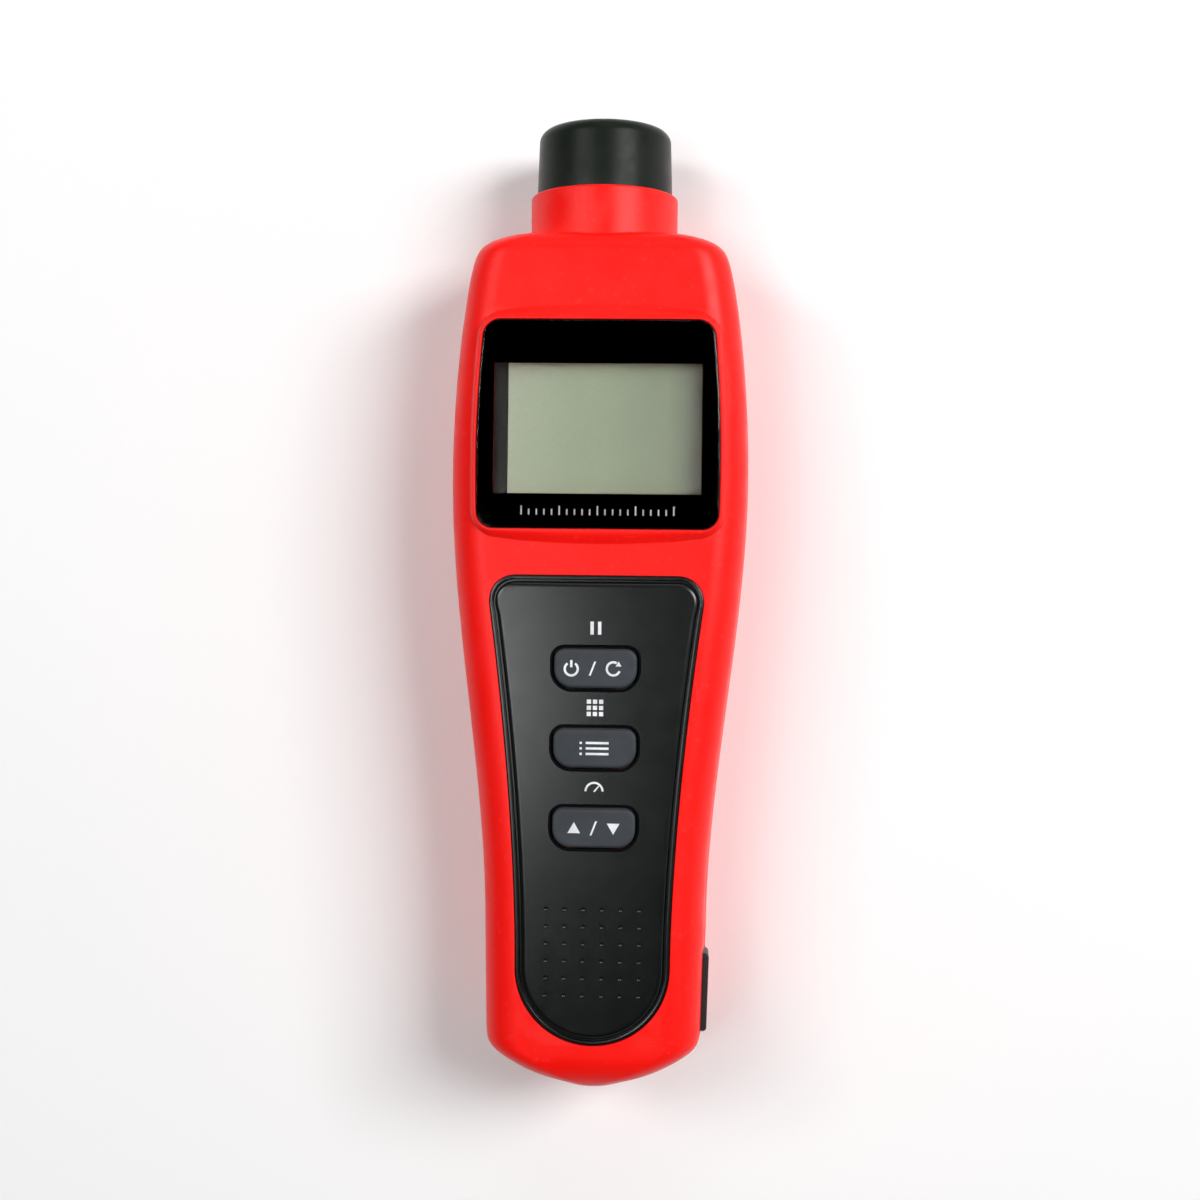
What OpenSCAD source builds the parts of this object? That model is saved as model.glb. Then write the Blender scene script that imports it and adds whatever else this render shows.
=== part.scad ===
// Hand-held laser tachometer, lying on its back: +Z leaves its front face and +Y its nose.
// The origin is the centre of the footprint, on the surface that the case rests on.

/* [Body] */
// Length of the case from its round end to its shoulder
body_len = 158.8; // [150:0.5:170]
// Greatest width, across the display
head_w = 56.1; // [54:0.1:60]
// Distance of the greatest width from the shoulder
head_drop = 45; // [40:0.5:50]
// Distance that each side draws in from the greatest width to the shoulder
shoulder_in = 4.25; // [3.5:0.05:5]
// Width of the grip
grip_w = 41.9; // [41:0.1:44]
// Distance of the end of the grip's taper from the round end
grip_pos = 28.8; // [26:0.1:34]
// Width that the sides run out to at the round end
end_w = 40.6; // [40:0.1:42]
// Radius at the tip of the round end
end_r = 26; // [22:0.5:30]
// Radius of the shoulder's arc
shoulder_r = 85; // [70:1:100]
// Height of the shoulder's arc above the flat round the nose
shoulder_rise = 1.6; // [1.2:0.1:2]
// Width of the chamfer along the parting line
seam_w = 0.2; // [0.15:0.05:0.3]
// Depth of the case from its back to its front face
body_d = 33; // [32:0.1:35]
// Height of the parting plane over the back
parting_z = 17; // [16.5:0.1:17.5]
// Thickness of the moulded walls
wall = 2.2; // [2:0.1:2.4]
// Radius of the edge round the front face
edge_r = 6.5; // [5.5:0.1:7.5]
// Radius of the edge round the back
back_edge_r = 8; // [7:0.1:9]
// Draft of each side from the parting plane to the edge
side_draft = 0.6; // [0.3:0.05:0.9]
// Radius of the round end as seen from the side
end_round = 7; // [5.5:0.1:8]
// Radius of the shoulder as seen from the side
shoulder_round = 4; // [3.2:0.1:5]
// Rise of the back behind the nose
back_rise = 3; // [2:0.1:4]
// Length over which the back rises
back_rise_len = 22; // [18:0.5:26]

/* [Nose] */
// Length of the collar that the two shells form
collar_len = 8.6; // [8:0.1:9.5]
// Diameter of the collar
collar_d = 28; // [27:0.1:29]
// Wall of the collar
collar_wall = 2.4; // [2.2:0.1:2.6]
// Length of the black hood in front of the collar
hood_len = 12.9; // [11:0.1:15]
// Diameter of the hood at the collar
hood_d = 25.8; // [25:0.1:26.5]
// Diameter of the hood before its round rim
hood_tip_d = 25.2; // [24.6:0.1:25.6]
// Radius of the hood's rim
hood_round = 2.4; // [1.8:0.1:2.6]
// Diameter of the hood's mouth
mouth_d = 19.2; // [18.8:0.1:19.6]
// Depth of the optical window behind the rim
window_recess = 4.6; // [4.4:0.1:5.2]
// Thickness of the optical window
window_t = 1.2; // [1:0.1:1.5]
// Diameter of the optics holder
holder_d = 17.6; // [17.4:0.1:18]
// Diameter of the laser's brass barrel
laser_d = 5.2; // [5:0.1:5.4]
// Length of the laser's barrel
laser_len = 16; // [14:0.5:18]
// Distance of the laser from the nose axis
laser_x = 5; // [4.9:0.05:5.1]
// Diameter of the receiver lens
lens_d = 8.6; // [8:0.1:8.8]
// Thickness of the receiver lens at its rim
lens_rim_t = 1.4; // [1.2:0.1:1.6]
// Rise of the receiver lens over its rim
lens_rise = 1.1; // [0.9:0.1:1.3]
// Distance of the receiver from the nose axis
lens_x = 3.7; // [3.6:0.05:3.8]

/* [Display] */
// Distance of the display window from the sides of the head
glass_side = 5.7; // [5.2:0.05:6]
// Distance that each side of the window draws in towards its upper edge
glass_top_in = 1.35; // [0.6:0.05:1.8]
// Distance that each side of the window draws in towards its lower edge
glass_low_in = 0.25; // [0.1:0.05:0.8]
// Height of the display window
glass_h = 38.2; // [37.6:0.1:39]
// Distance of the window's upper edge from the shoulder
glass_gap = 16.9; // [15:0.1:18]
// Radius of the display window's corners
glass_corner_r = 2.9; // [2.4:0.1:3.6]
// Thickness of the display window
glass_t = 1.2; // [1:0.1:1.3]
// Thickness of the black bonding mask
mask_t = 0.25; // [0.2:0.05:0.3]
// Width of the black border at each side of the display
view_side = 3.1; // [2.8:0.1:3.4]
// Height of the opening in the mask
view_h = 24.5; // [24:0.1:25.5]
// Distance from the window's lower edge to the opening
view_low = 6.1; // [5.8:0.1:6.4]
// Height of the raised surround over the front face
surround_h = 1; // [0.8:0.05:1.2]
// Rim of the surround round the window
surround_rim = 0.4; // [0.3:0.05:0.5]
// Width of the surround's slope at the sides
slope_side = 0.9; // [0.7:0.05:1.1]
// Added width of the slope at the middle of its upper and lower edges
slope_bow = 2.6; // [2:0.1:3]
// Width of the dark strip that shows at the left of the liquid crystal glass
lcd_strip = 2.45; // [2.2:0.05:2.7]
// Reach of the liquid crystal glass behind the border at its right
lcd_overlap = 1.25; // [1:0.05:1.5]
// Reach of the liquid crystal glass behind the border above and below
lcd_reach = 2.55; // [2.2:0.05:2.8]
// Thickness of the liquid crystal glass
lcd_t = 2.2; // [1.8:0.1:2.4]
// Wall of the display frame at the left of the glass
frame_left = 4; // [3.6:0.1:4.4]
// Wall of the display frame at the right of the glass
frame_right = 0.8; // [0.7:0.05:1]
// Wall of the display frame above and below the glass
frame_edge = 1.1; // [0.9:0.05:1.2]
// Width of each connector strip under the glass
strip_w = 2.4; // [2:0.1:2.8]

/* [Keypad] */
// Distance of the keypad panel from the display window
panel_gap = 8.65; // [8:0.05:9.5]
// Distance of the panel's lower tip from the round end
panel_pos = 9; // [8.5:0.1:10]
// Distance of the panel's upper edge from the sides of the head
panel_side = 7.7; // [7.2:0.05:8.2]
// Radius of the panel's round lower end
panel_end_r = 14.1; // [13.6:0.1:14.4]
// Radius of the panel's upper corners
panel_corner_r = 5.5; // [4.5:0.1:6.5]
// Height of the panel over the front face
panel_proud = 0.3; // [0.2:0.05:0.5]
// Depth of the panel's pocket in the front face
pocket_d = 1.2; // [1:0.05:1.3]
// Width of the flat lip round the panel
lip_w = 0.7; // [0.6:0.05:0.9]
// Width of the groove inside the lip
groove_w = 0.8; // [0.7:0.05:1]
// Depth of the groove
groove_d = 0.7; // [0.5:0.05:0.8]
// Width of a key
key_w = 15.2; // [14.5:0.1:16]
// Height of a key
key_h = 7.1; // [6.8:0.1:7.6]
// Radius of a key's upper corners
key_top_r = 1.9; // [1.6:0.1:2.2]
// Radius of a key's lower corners
key_low_r = 3.3; // [3:0.1:3.4]
// Distance between neighbouring keys
key_pitch = 14.6; // [14:0.1:15]
// Distance of the upper key from the panel's upper edge
key_pos = 16.95; // [16.5:0.05:17.5]
// Height of a key over the panel
key_proud = 0.6; // [0.5:0.05:0.7]
// Travel of a key
key_travel = 1; // [0.8:0.05:1.1]
// Width of the step round each key's opening
well_w = 0.4; // [0.3:0.05:0.5]
// Depth of the step round each key's opening
well_d = 0.25; // [0.2:0.05:0.3]
// Thickness of the rubber mat
mat_t = 1; // [0.8:0.05:1.1]
// Diameter of the dimples in the panel
dimple_d = 0.95; // [0.8:0.05:1.1]
// Depth of the dimples
dimple_depth = 0.25; // [0.2:0.05:0.3]
// Distance between neighbouring dimples in a row
dimple_pitch = 3.43; // [3.2:0.01:3.5]
// Distance between neighbouring rows of dimples
dimple_row = 3.15; // [3:0.01:3.2]
// Distance of the upper row of dimples from the panel's lower tip
dimple_pos = 24.9; // [24:0.1:25.5]

/* [Batteries] */
// Diameter of a battery
cell_d = 10.4; // [10:0.1:10.5]
// Length of a battery with its button
cell_len = 44.5; // [44:0.1:44.8]
// Diameter of a battery's button
button_d = 3.8; // [3.5:0.1:4.2]
// Length of a battery's button
button_len = 0.8; // [0.7:0.1:1.2]
// Distance between the two rows of batteries
cell_pitch = 11; // [10.8:0.1:11.2]
// Wall of the battery bay
bay_wall = 1.2; // [1:0.1:1.4]
// Distance of the bay from the round end
bay_pos = 7.6; // [7.4:0.1:8]
// Room for a spring contact
spring_room = 3.6; // [3.2:0.1:4]
// Thickness of the contact metal
contact_t = 0.4; // [0.3:0.05:0.5]
// Width of the battery door
door_w = 23.8; // [23.6:0.1:24.4]
// Height of the door's end wall
door_end_h = 8; // [7:0.1:9]
// Width of the tongue along each edge of the door
tongue_w = 1.2; // [1:0.1:1.4]
// Thickness of the door's tongues
tongue_t = 1; // [0.8:0.1:1.2]

/* [Boards] */
// Thickness of the circuit boards
board_t = 1.6; // [1.4:0.1:1.7]
// Height of the main board's upper face over the back
board_z = 25.6; // [25.4:0.1:25.8]
// Width of the main board's edge beyond the display frame
board_edge = 0.2; // [0.1:0.05:0.4]
// Width of the main board behind the keys
board_neck_w = 30.4; // [28:0.1:31]
// Side of the processor's square case
chip_w = 12; // [10:0.5:14]
// Thickness of the chips
chip_t = 1.4; // [1:0.1:1.6]

/* [Socket] */
// Length of the data socket's cover
cover_len = 14.7; // [14:0.1:15.5]
// Height of the cover
cover_h = 7.4; // [7:0.1:7.8]
// Thickness of the cover
cover_t = 1.8; // [1.6:0.1:2]
// Distance of the cover's lower end from the round end
cover_pos = 10.2; // [10:0.1:10.6]
// Height of the cover over the case's side
cover_proud = 0.6; // [0.5:0.05:0.7]
// Width of the data socket
socket_w = 7.7; // [7.5:0.1:7.9]
// Height of the data socket
socket_h = 3.9; // [3.8:0.05:4]
// Depth of the data socket
socket_len = 9; // [8.5:0.1:9.2]
// Wall of the data socket's shell
socket_wall = 0.4; // [0.3:0.05:0.5]

/* [Screws] */
// Diameter of the case screws
case_screw_d = 2.5; // [2.2:0.1:2.6]
// Diameter of the case screws' heads
case_head_d = 4.4; // [4:0.1:4.6]
// Diameter of the board screws
board_screw_d = 2; // [1.8:0.1:2.2]
// Diameter of the board screws' heads
board_head_d = 3.8; // [3.5:0.1:4]
// Diameter of the posts that take the case screws
case_post_d = 5.8; // [5.4:0.1:6]
// Diameter of the posts that take the board screws
board_post_d = 4.4; // [4:0.1:4.6]

/* [Fits] */
// Gap round a piece that is bonded or dropped into its seat
seat_gap = 0.15; // [0.1:0.01:0.2]
// Gap round a moving piece
move_gap = 0.35; // [0.3:0.01:0.45]
// Radial gap of a round piece in its bore
bore_gap = 0.05; // [0.02:0.01:0.08]

/* [Hidden] */
$fn = 48;
over = 1; // overrun of a cut past a face
tiny = 0.01; // least width that an arc keeps
apex_trim = 0.1; // flat cut off the tip of the round end
steps = 40; // stations along the case
edge_steps = 6; // steps round an edge of the case
arc_steps = 7; // steps round a corner of an outline
side_steps = 6; // steps along a bowed side
end_softness = 24; // sharpness of the corner between side and round end
shoulder_softness = 7; // sharpness of the corner between side and shoulder
edge_limit_share = 0.9; // greatest share of a section that its edge may take
panel_power = 1.7; // bow of the keypad panel's sides
edge_sharp = 6; // how soon the surround's bulge begins beside the corners
pillow_steps = 3; // steps round the edge of the keypad's field

red = [0.93, 0.12, 0.10];
black = [0.08, 0.09, 0.08];
dark = [0.16, 0.17, 0.17];
rubber_grey = [0.24, 0.26, 0.28];
copper_green = [0.10, 0.36, 0.20];
metal = [0.78, 0.79, 0.80];
brassy = [0.80, 0.66, 0.34];
clear = [0.80, 0.88, 0.90, 0.4];
smoked_red = [0.35, 0.05, 0.06, 0.6];
lcd_grey = [0.60, 0.64, 0.56];
strip_pink = [0.85, 0.45, 0.50];

overall_len = body_len + collar_len + hood_len;
y_end = -overall_len / 2;
y_shoulder = y_end + body_len;
y_collar = y_shoulder + collar_len;
y_tip = y_collar + hood_len;
y_head = y_shoulder - head_drop;
shoulder_w = head_w - 2 * shoulder_in;
y_grip = y_end + grip_pos;
front_z = body_d;
inner_z = front_z - wall;
top_z = front_z + surround_h;

y_window = y_tip - window_recess;
collar_bore_r = collar_d / 2 - collar_wall;
spigot_r = collar_bore_r - bore_gap;
holder_r = holder_d / 2;
hood_bore_r = holder_r + bore_gap;
flange_w = 0.9; // width and length of the ring that locks the hood in the collar
collar_root = 4; // length of the collar inside the case
laser_eye_share = 0.6; // opening of the laser's barrel, as a share of its diameter

glass_mid_shift = 2.5; // widest place of the window above the widest place of the case
glass_top = y_shoulder - glass_gap;
glass_low = glass_top - glass_h;
glass_w = head_w - 2 * glass_side;
glass_top_w = glass_w - 2 * glass_top_in;
glass_low_w = glass_w - 2 * glass_low_in;
glass_mid = y_head + glass_mid_shift;
seat_z = top_z - glass_t - mask_t;
view_y = glass_low + view_low;
view_w = glass_w - 2 * view_side;
lcd_w = view_w - lcd_strip + lcd_overlap;
lcd_h = view_h + 2 * lcd_reach;
lcd_shift = (lcd_strip + lcd_overlap) / 2;
lcd_y = view_y + view_h / 2;
lcd_clear = 0.1; // the frame stands this much over the glass
lcd_top_z = inner_z - seat_gap - lcd_clear;
frame_low = [lcd_shift - lcd_w / 2 - frame_left, lcd_y - lcd_h / 2 - frame_edge, board_z];
frame_high = [
  lcd_shift + lcd_w / 2 + frame_right, lcd_y + lcd_h / 2 + frame_edge, lcd_top_z + lcd_clear
];
strip_z = lcd_top_z - lcd_t;
strip_ledge_share = 1.6; // ledge under the glass, in strip widths
strip_edge_share = 0.75; // strip's place in from the glass's edge, in strip widths
crystal_share = 0.7; // length of the crystal's can, in chip widths

panel_low = y_end + panel_pos;
panel_top = glass_low - panel_gap;
panel_w = head_w - 2 * panel_side;
dimple_count = 6; // dimples in a row, and rows
pocket_z = front_z - pocket_d;
panel_z = front_z + panel_proud;
key_y = panel_top - key_pos;
key_z = panel_z + key_proud;
pillow_r = 1.6; // width of the rounding along the edge of the keypad's field
pillow_h = 0.5; // height of that rounding
key_bevel = 0.3; // bevel round a key's face
key_flange = 1; // reach of a key's flange beyond the key
key_flange_t = 1.2;
plunger_d = 6;
pill_d = 4.8;
pill_t = 0.5;
mat_z = board_z + mat_t;
mat_w = 21;
mat_edge = 5; // mat beyond the outer keys

bay_half_w = cell_pitch / 2 + cell_d / 2 + seat_gap * 2;
y_bay = y_end + bay_pos;
bay_len = 2 * cell_len + spring_room + contact_t;
y_bay_top = y_bay + bay_len;
cell_z = wall + move_gap * 2 + cell_d / 2;
bay_roof_z = cell_z + cell_d / 2 + seat_gap;
door_half_w = door_w / 2;
lip_z = wall - tongue_t + seat_gap - move_gap; // upper face of the lip that holds a tongue
tongue_z = lip_z + move_gap;
ledge_z = tongue_z + tongue_t + move_gap;
ledge_t = 1.2;
ledge_w = 1.6; // ledge beyond the tongue's groove
y_door = y_bay_top + bay_wall + move_gap;
tail_w = 3; // width of a contact's tail
plate_share = 0.85; // width of a contact, as a share of a battery's diameter
leaf_share = 0.38; // reach of a leaf's feet, as a share of a battery's diameter
grip_ribs = 6;
rib_pitch = 2.6;
rib_w = 14;
rib_d = 0.5;

cover_y = y_end + cover_pos;
board_w = 2 * (lcd_shift + lcd_w / 2 + frame_right + board_edge);
board_margin = 1.4; // board beyond the posts and the data socket
board_head_y = glass_low - board_post_d - board_margin;
board_top_y = glass_top + board_margin;
tab_w = 20;
tab_len = 6;
y_sensor = board_top_y + tab_len; // face of the sensor board towards the case's end
board_end_y = cover_y - board_margin;
foot_len = cover_len + 2 * board_margin;
foot_w = 33.6;

cover_x = side_half(cover_y + cover_len / 2) + cover_proud;
cover_lean = (side_half(cover_y + cover_len) - side_half(cover_y)) / 2;
cover_bead = [cover_x - cover_lean - cover_t / 2, cover_y + cover_t / 2]; // axis of the cover's bead
socket_z = board_z - board_t - socket_h / 2;
socket_y = cover_y + cover_len / 2;
recess_x = cover_x - cover_lean - cover_t - move_gap;

head_recess_z = 9; // seat of the case screws' heads
case_head_t = 1.7;
case_screw_len = 16;
board_head_t = 1.2;
board_screw_len = 5;
slot_len_share = 0.62; // length of a head's cross, as a share of the head
slot_w_share = 0.16; // width of a head's cross, as a share of the head
case_post_edge = 6.9; // axis of a case screw in from the side of the case
case_post_rise = 4.9; // axis of the upper case screws above the window
case_post_pos = 60.8; // axis of the lower case screws from the round end
case_post_y = [glass_top + case_post_rise, y_end + case_post_pos];
case_posts = [for (y = case_post_y, s = [-1, 1]) [s * (side_half(y) - case_post_edge), y]];
post_wall = 0.9; // wall round the recess for a case screw's head
post_foot_share = 0.9; // how deep a post's foot lies in the wall
board_post_x = board_w / 2 - board_post_d / 2;
board_posts = [
  for (s = [-1, 1])
    each [
      [s * board_post_x, glass_top - board_post_d / 4],
      [s * board_post_x, glass_low - board_post_d / 2 - seat_gap],
      [s * (board_neck_w / 2 - board_post_d / 2 - seat_gap), board_end_y + foot_len - board_post_d / 2],
    ]
];

CELLS = ["battery_1", "battery_2", "battery_3", "battery_4"];
KEYS = ["key_power", "key_menu", "key_mode"];
PILLS = ["contact_pill_1", "contact_pill_2", "contact_pill_3"];

function blend(a, b, t) = a + (b - a) * t;
function ease(t) = t * t * (3 - 2 * t);
function within(t) = min(1, max(0, t));
function soft_min(a, b, p) = pow(pow(a, -p) + pow(b, -p), -1 / p);
function drop(gap, r) = gap >= r ? 0 : r - sqrt(max(0, r * r - (r - gap) * (r - gap)));

// Half width of the case's sides before the round end and the shoulder cut in
function side_half(y) =
  y > y_head
    ? blend(head_w, shoulder_w, pow((y - y_head) / (y_shoulder - y_head), 2)) / 2
    : y > y_grip
      ? blend(grip_w, head_w, ease((y - y_grip) / (y_head - y_grip))) / 2
      : blend(end_w, grip_w, (y - y_end) / (y_grip - y_end)) / 2;

// Half width of the case, or of the form that lies an inset inside it
function case_half(y, inset) =
  let (
    end_gap = max(tiny, y - y_end - inset + apex_trim),
    shoulder_gap = max(tiny, y_shoulder + shoulder_rise - inset - y)
  )
  soft_min(
    soft_min(side_half(y) - inset, sqrt(2 * (end_r - inset) * end_gap), end_softness),
    sqrt(2 * shoulder_r * shoulder_gap),
    shoulder_softness
  );

// Depth of the case from the parting plane to the front or to the back
function case_depth(y, inset, full, rise) =
  full - inset - rise * ease(within((y - y_shoulder + back_rise_len) / back_rise_len))
  - drop(y - y_end - inset, end_round)
  - drop(y_shoulder - inset - y, shoulder_round);

function station(k, inset) =
  blend(y_end + inset, y_shoulder - inset, (1 - cos(180 * k / steps)) / 2);

// One section over the parting plane, from the right side over the face to the left side
function section(y, inset, full, rise, edge) =
  let (
    w = case_half(y, inset),
    h = case_depth(y, inset, full, rise),
    draft = min(side_draft, w * (1 - edge_limit_share)),
    r = min(edge - inset, edge_limit_share * (w - draft), edge_limit_share * h),
    right = [
      [inset > 0 ? w : w - seam_w, y, 0],
      [w, y, seam_w],
      for (i = [0:edge_steps])
        let (a = 90 * i / edge_steps) [w - draft - r + r * cos(a), y, h - r + r * sin(a)],
    ],
    n = len(right)
  )
  concat(right, [for (i = [n - 1:-1:0]) [-right[i][0], y, right[i][2]]]);

// Half of the moulded case: the wall between the outer form and the form one wall inside it
module half_case(full, rise, edge) {
  n = 2 * (edge_steps + 3);
  rings = [
    for (inset = [0, wall], k = [0:steps]) section(station(k, inset), inset, full, rise, edge)
  ];
  inner = (steps + 1) * n;
  last = steps * n;
  skin = [
    for (k = [0:steps - 1], j = [0:n - 2])
      let (a = k * n + j, b = a + 1, c = b + n, d = a + n)
      each [
        [a, b, c], [a, c, d],
        [inner + a, inner + c, inner + b], [inner + a, inner + d, inner + c],
      ]
  ];
  rim = [
    for (k = [0:steps - 1])
      let (a = k * n, b = a + n, c = a + n - 1, d = c + n)
      each [
        [a, b, inner + b], [a, inner + b, inner + a],
        [c, inner + c, inner + d], [c, inner + d, d],
      ]
  ];
  caps = [
    for (j = [1:n - 2])
      each [
        [0, j + 1, j], [last, last + j, last + j + 1],
        [inner, inner + j, inner + j + 1], [inner + last, inner + last + j + 1, inner + last + j],
      ]
  ];
  ends = [
    [inner, inner + n - 1, n - 1], [inner, n - 1, 0],
    [last, last + n - 1, inner + last + n - 1], [last, inner + last + n - 1, inner + last],
  ];
  polyhedron(points = [for (ring = rings) each ring], faces = concat(skin, rim, caps, ends));
}

// The children, turned from the Z axis to the nose axis
module along_nose() {
  translate([0, 0, parting_z])
    rotate([-90, 0, 0]) children();
}

module box(low, high) {
  translate(low) cube(high - low);
}

module post(at, z, h, d) {
  translate([at[0], at[1], z]) cylinder(h = h, d = d);
}

// Half of the collar round the nose, below the parting plane of the turned frame
module half_collar() {
  rotate([-90, 0, 0])
    rotate_extrude(angle = 180)
      translate([collar_bore_r, y_shoulder - collar_root])
        square([collar_wall, collar_root + collar_len]);
}

module collar_bore() {
  lock_y = y_shoulder + flange_w;
  along_nose() {
    translate([0, 0, y_shoulder - collar_root - wall])
      cylinder(h = collar_root + collar_len + wall + over, r = collar_bore_r);
    translate([0, 0, lock_y])
      cylinder(h = flange_w + 2 * seat_gap, r = spigot_r + flange_w + seat_gap);
  }
}

// Right half of an outline with bowed sides and round corners, grown by a margin
function bowed(low, top, mid, w_low, w_mid, w_top, r, grow) =
  let (
    y0 = low - grow,
    y1 = top + grow,
    rr = r + grow,
    half = function (y) grow
      + (y > mid
          ? blend(w_mid, w_top, pow((y - mid) / (top - mid), 2))
          : blend(w_mid, w_low, pow((mid - y) / (mid - low), 2))) / 2,
    lower = [
      for (i = [0:arc_steps])
        let (a = 90 * i / arc_steps, y = y0 + rr * (1 - cos(a))) [half(y) - rr * (1 - sin(a)), y],
    ],
    side = [
      for (i = [1:side_steps - 1])
        let (y = blend(y0 + rr, y1 - rr, i / side_steps)) [half(y), y],
    ],
    upper = [
      for (i = [0:arc_steps])
        let (a = 90 * i / arc_steps, y = y1 - rr * (1 - sin(a))) [half(y) - rr * (1 - cos(a)), y],
    ]
  )
  concat(lower, side, upper);

function mirrored(right) =
  concat(right, [for (i = [len(right) - 1:-1:0]) if (right[i][0] > tiny) [-right[i][0], right[i][1]]]);

function glass_right(grow) =
  bowed(glass_low, glass_top, glass_mid, glass_low_w, glass_w, glass_top_w, glass_corner_r, grow);

function glass_outline(grow) = mirrored(glass_right(grow));

// Outer outline of the surround's slope: it bulges along its upper and lower edges
function slope_outline() =
  let (
    grow = surround_rim + slope_side,
    mid_y = (glass_low + glass_top) / 2,
    half_h = glass_h / 2 + grow
  )
  [
    for (p = glass_outline(grow))
      let (
        edge = within((abs(p[1] - mid_y) / half_h - 1) * edge_sharp + 1),
        bulge = slope_bow * edge * (1 - pow(p[0] / (glass_w / 2 + grow), 2))
      )
      [p[0], p[1] + (p[1] > mid_y ? bulge : -bulge)],
  ];

// The raised surround: a rim round the window that slopes down to the front face
module surround() {
  top = glass_outline(surround_rim);
  foot = slope_outline();
  n = len(top);
  sink = surround_h / 3;
  rings = [
    [for (p = foot) [p[0], p[1], inner_z + wall / 4]],
    [for (p = foot) [p[0], p[1], front_z - sink]],
    [for (p = top) [p[0], p[1], top_z]],
  ];
  sides = [
    for (k = [0, 1], j = [0:n - 1])
      let (a = k * n + j, b = k * n + (j + 1) % n)
      each [[a, b + n, b], [a, a + n, b + n]]
  ];
  caps = [
    for (j = [1:n - 2]) each [[0, j, j + 1], [2 * n, 2 * n + j + 1, 2 * n + j]]
  ];
  polyhedron(points = [for (ring = rings) each ring], faces = concat(sides, caps));
}

// Right half of the keypad panel's outline: round end, bowed side, upper corner
function panel_right(grow) =
  let (
    end_y = panel_low + panel_end_r,
    straight = panel_top - panel_corner_r - end_y,
    side = function (y)
      let (share = pow(within((y - end_y) / (panel_top - end_y)), panel_power))
        grow + blend(panel_end_r, panel_w / 2, share),
    r = panel_corner_r + grow
  )
  [
    for (i = [0:2 * arc_steps])
      let (a = 90 * i / (2 * arc_steps)) [
        (panel_end_r + grow) * sin(a), end_y - (panel_end_r + grow) * cos(a)
      ],
    for (i = [1:2 * side_steps - 1])
      let (y = end_y + straight * i / (2 * side_steps)) [side(y), y],
    for (i = [0:arc_steps])
      let (a = 90 * i / arc_steps, y = panel_top + grow - r * (1 - sin(a))) [
        side(y - grow) - r * (1 - cos(a)), y
      ],
  ];

function panel_outline(grow) = mirrored(panel_right(grow));

// Outline of a key or of its opening: smaller radii above, larger below
function key_outline(grow) =
  let (
    w = key_w / 2 + grow,
    h = key_h / 2 + grow,
    rl = key_low_r + grow,
    rt = key_top_r + grow
  )
  mirrored([
    for (i = [0:arc_steps]) let (a = 90 * i / arc_steps) [w - rl + rl * sin(a), -h + rl - rl * cos(a)],
    for (i = [0:arc_steps]) let (a = 90 * i / arc_steps) [w - rt + rt * cos(a), h - rt + rt * sin(a)],
  ]);

module plate(outline, z, h) {
  translate([0, 0, z])
    linear_extrude(h) polygon(outline);
}

module key_holes(grow, z, h) {
  for (i = [0:len(KEYS) - 1])
    translate([0, key_y - i * key_pitch, 0]) plate(key_outline(grow), z, h);
}

module view_opening(z, h, grow) {
  box(
    [-view_w / 2 - grow, view_y - grow, z],
    [view_w / 2 + grow, view_y + view_h + grow, z + h]
  );
}

// The recess for the rubber cover and the way through to the data socket
module cover_recess() {
  h = cover_h / 2 + move_gap;
  box(
    [recess_x, cover_y - move_gap, socket_z - h],
    [cover_x + over, cover_y + cover_len + move_gap, socket_z + h]
  );
  box(
    [recess_x - 2 * wall, socket_y - socket_w / 2 - seat_gap, socket_z - socket_h / 2 - seat_gap],
    [recess_x + over, socket_y + socket_w / 2 + seat_gap, socket_z + socket_h / 2 + seat_gap]
  );
}

module front_shell() {
  thread_len = head_recess_z + case_screw_len - parting_z + 2 * over;
  color(red)
    difference() {
      union() {
        translate([0, 0, parting_z])
          half_case(front_z - parting_z, 0, edge_r);
        surround();
        translate([0, 0, parting_z])
          mirror([0, 0, 1]) half_collar();
        for (at = case_posts) post(at, parting_z, inner_z - parting_z + wall / 2, case_post_d);
        for (at = board_posts) post(at, board_z, inner_z - board_z + wall / 2, board_post_d);
      }
      collar_bore();
      plate(glass_outline(seat_gap), seat_z, glass_t + mask_t + over);
      view_opening(inner_z - over, seat_z - inner_z + 2 * over, seat_gap);
      plate(panel_outline(seat_gap), pocket_z, pocket_d + over);
      key_holes(move_gap, inner_z - over, pocket_z - inner_z + 2 * over);
      cover_recess();
      for (at = case_posts) post(at, parting_z - over, thread_len, case_screw_d + 2 * bore_gap);
      for (at = board_posts)
        post(at, board_z - over, board_screw_len + over, board_screw_d + 2 * bore_gap);
    }
}

// The part of the back that the battery door takes up, with a gap round it
module door_way(gap) {
  half = door_half_w + gap;
  box([-half, y_end - over, -over], [half, y_door + gap, ledge_z]);
  box([-half, y_end - over, -over], [half, y_bay - bay_wall - move_gap, door_end_h + gap]);
  box(
    [-half - tongue_w, y_end - over, tongue_z - gap],
    [half + tongue_w, y_door + gap, tongue_z + tongue_t + gap]
  );
}

module bay_walls() {
  w = bay_half_w + bay_wall;
  box([-w, y_bay - bay_wall, ledge_z], [w, y_bay_top + bay_wall, bay_roof_z + bay_wall]);
  for (s = [-1, 1])
    scale([s, 1, 1])
      box(
        [bay_half_w, y_bay - bay_wall, ledge_z],
        [door_half_w + tongue_w + ledge_w, y_door + ledge_w, ledge_z + ledge_t]
      );
  box(
    [-bay_half_w, y_bay_top, ledge_z],
    [bay_half_w, y_door + ledge_w, ledge_z + ledge_t]
  );
}

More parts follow.
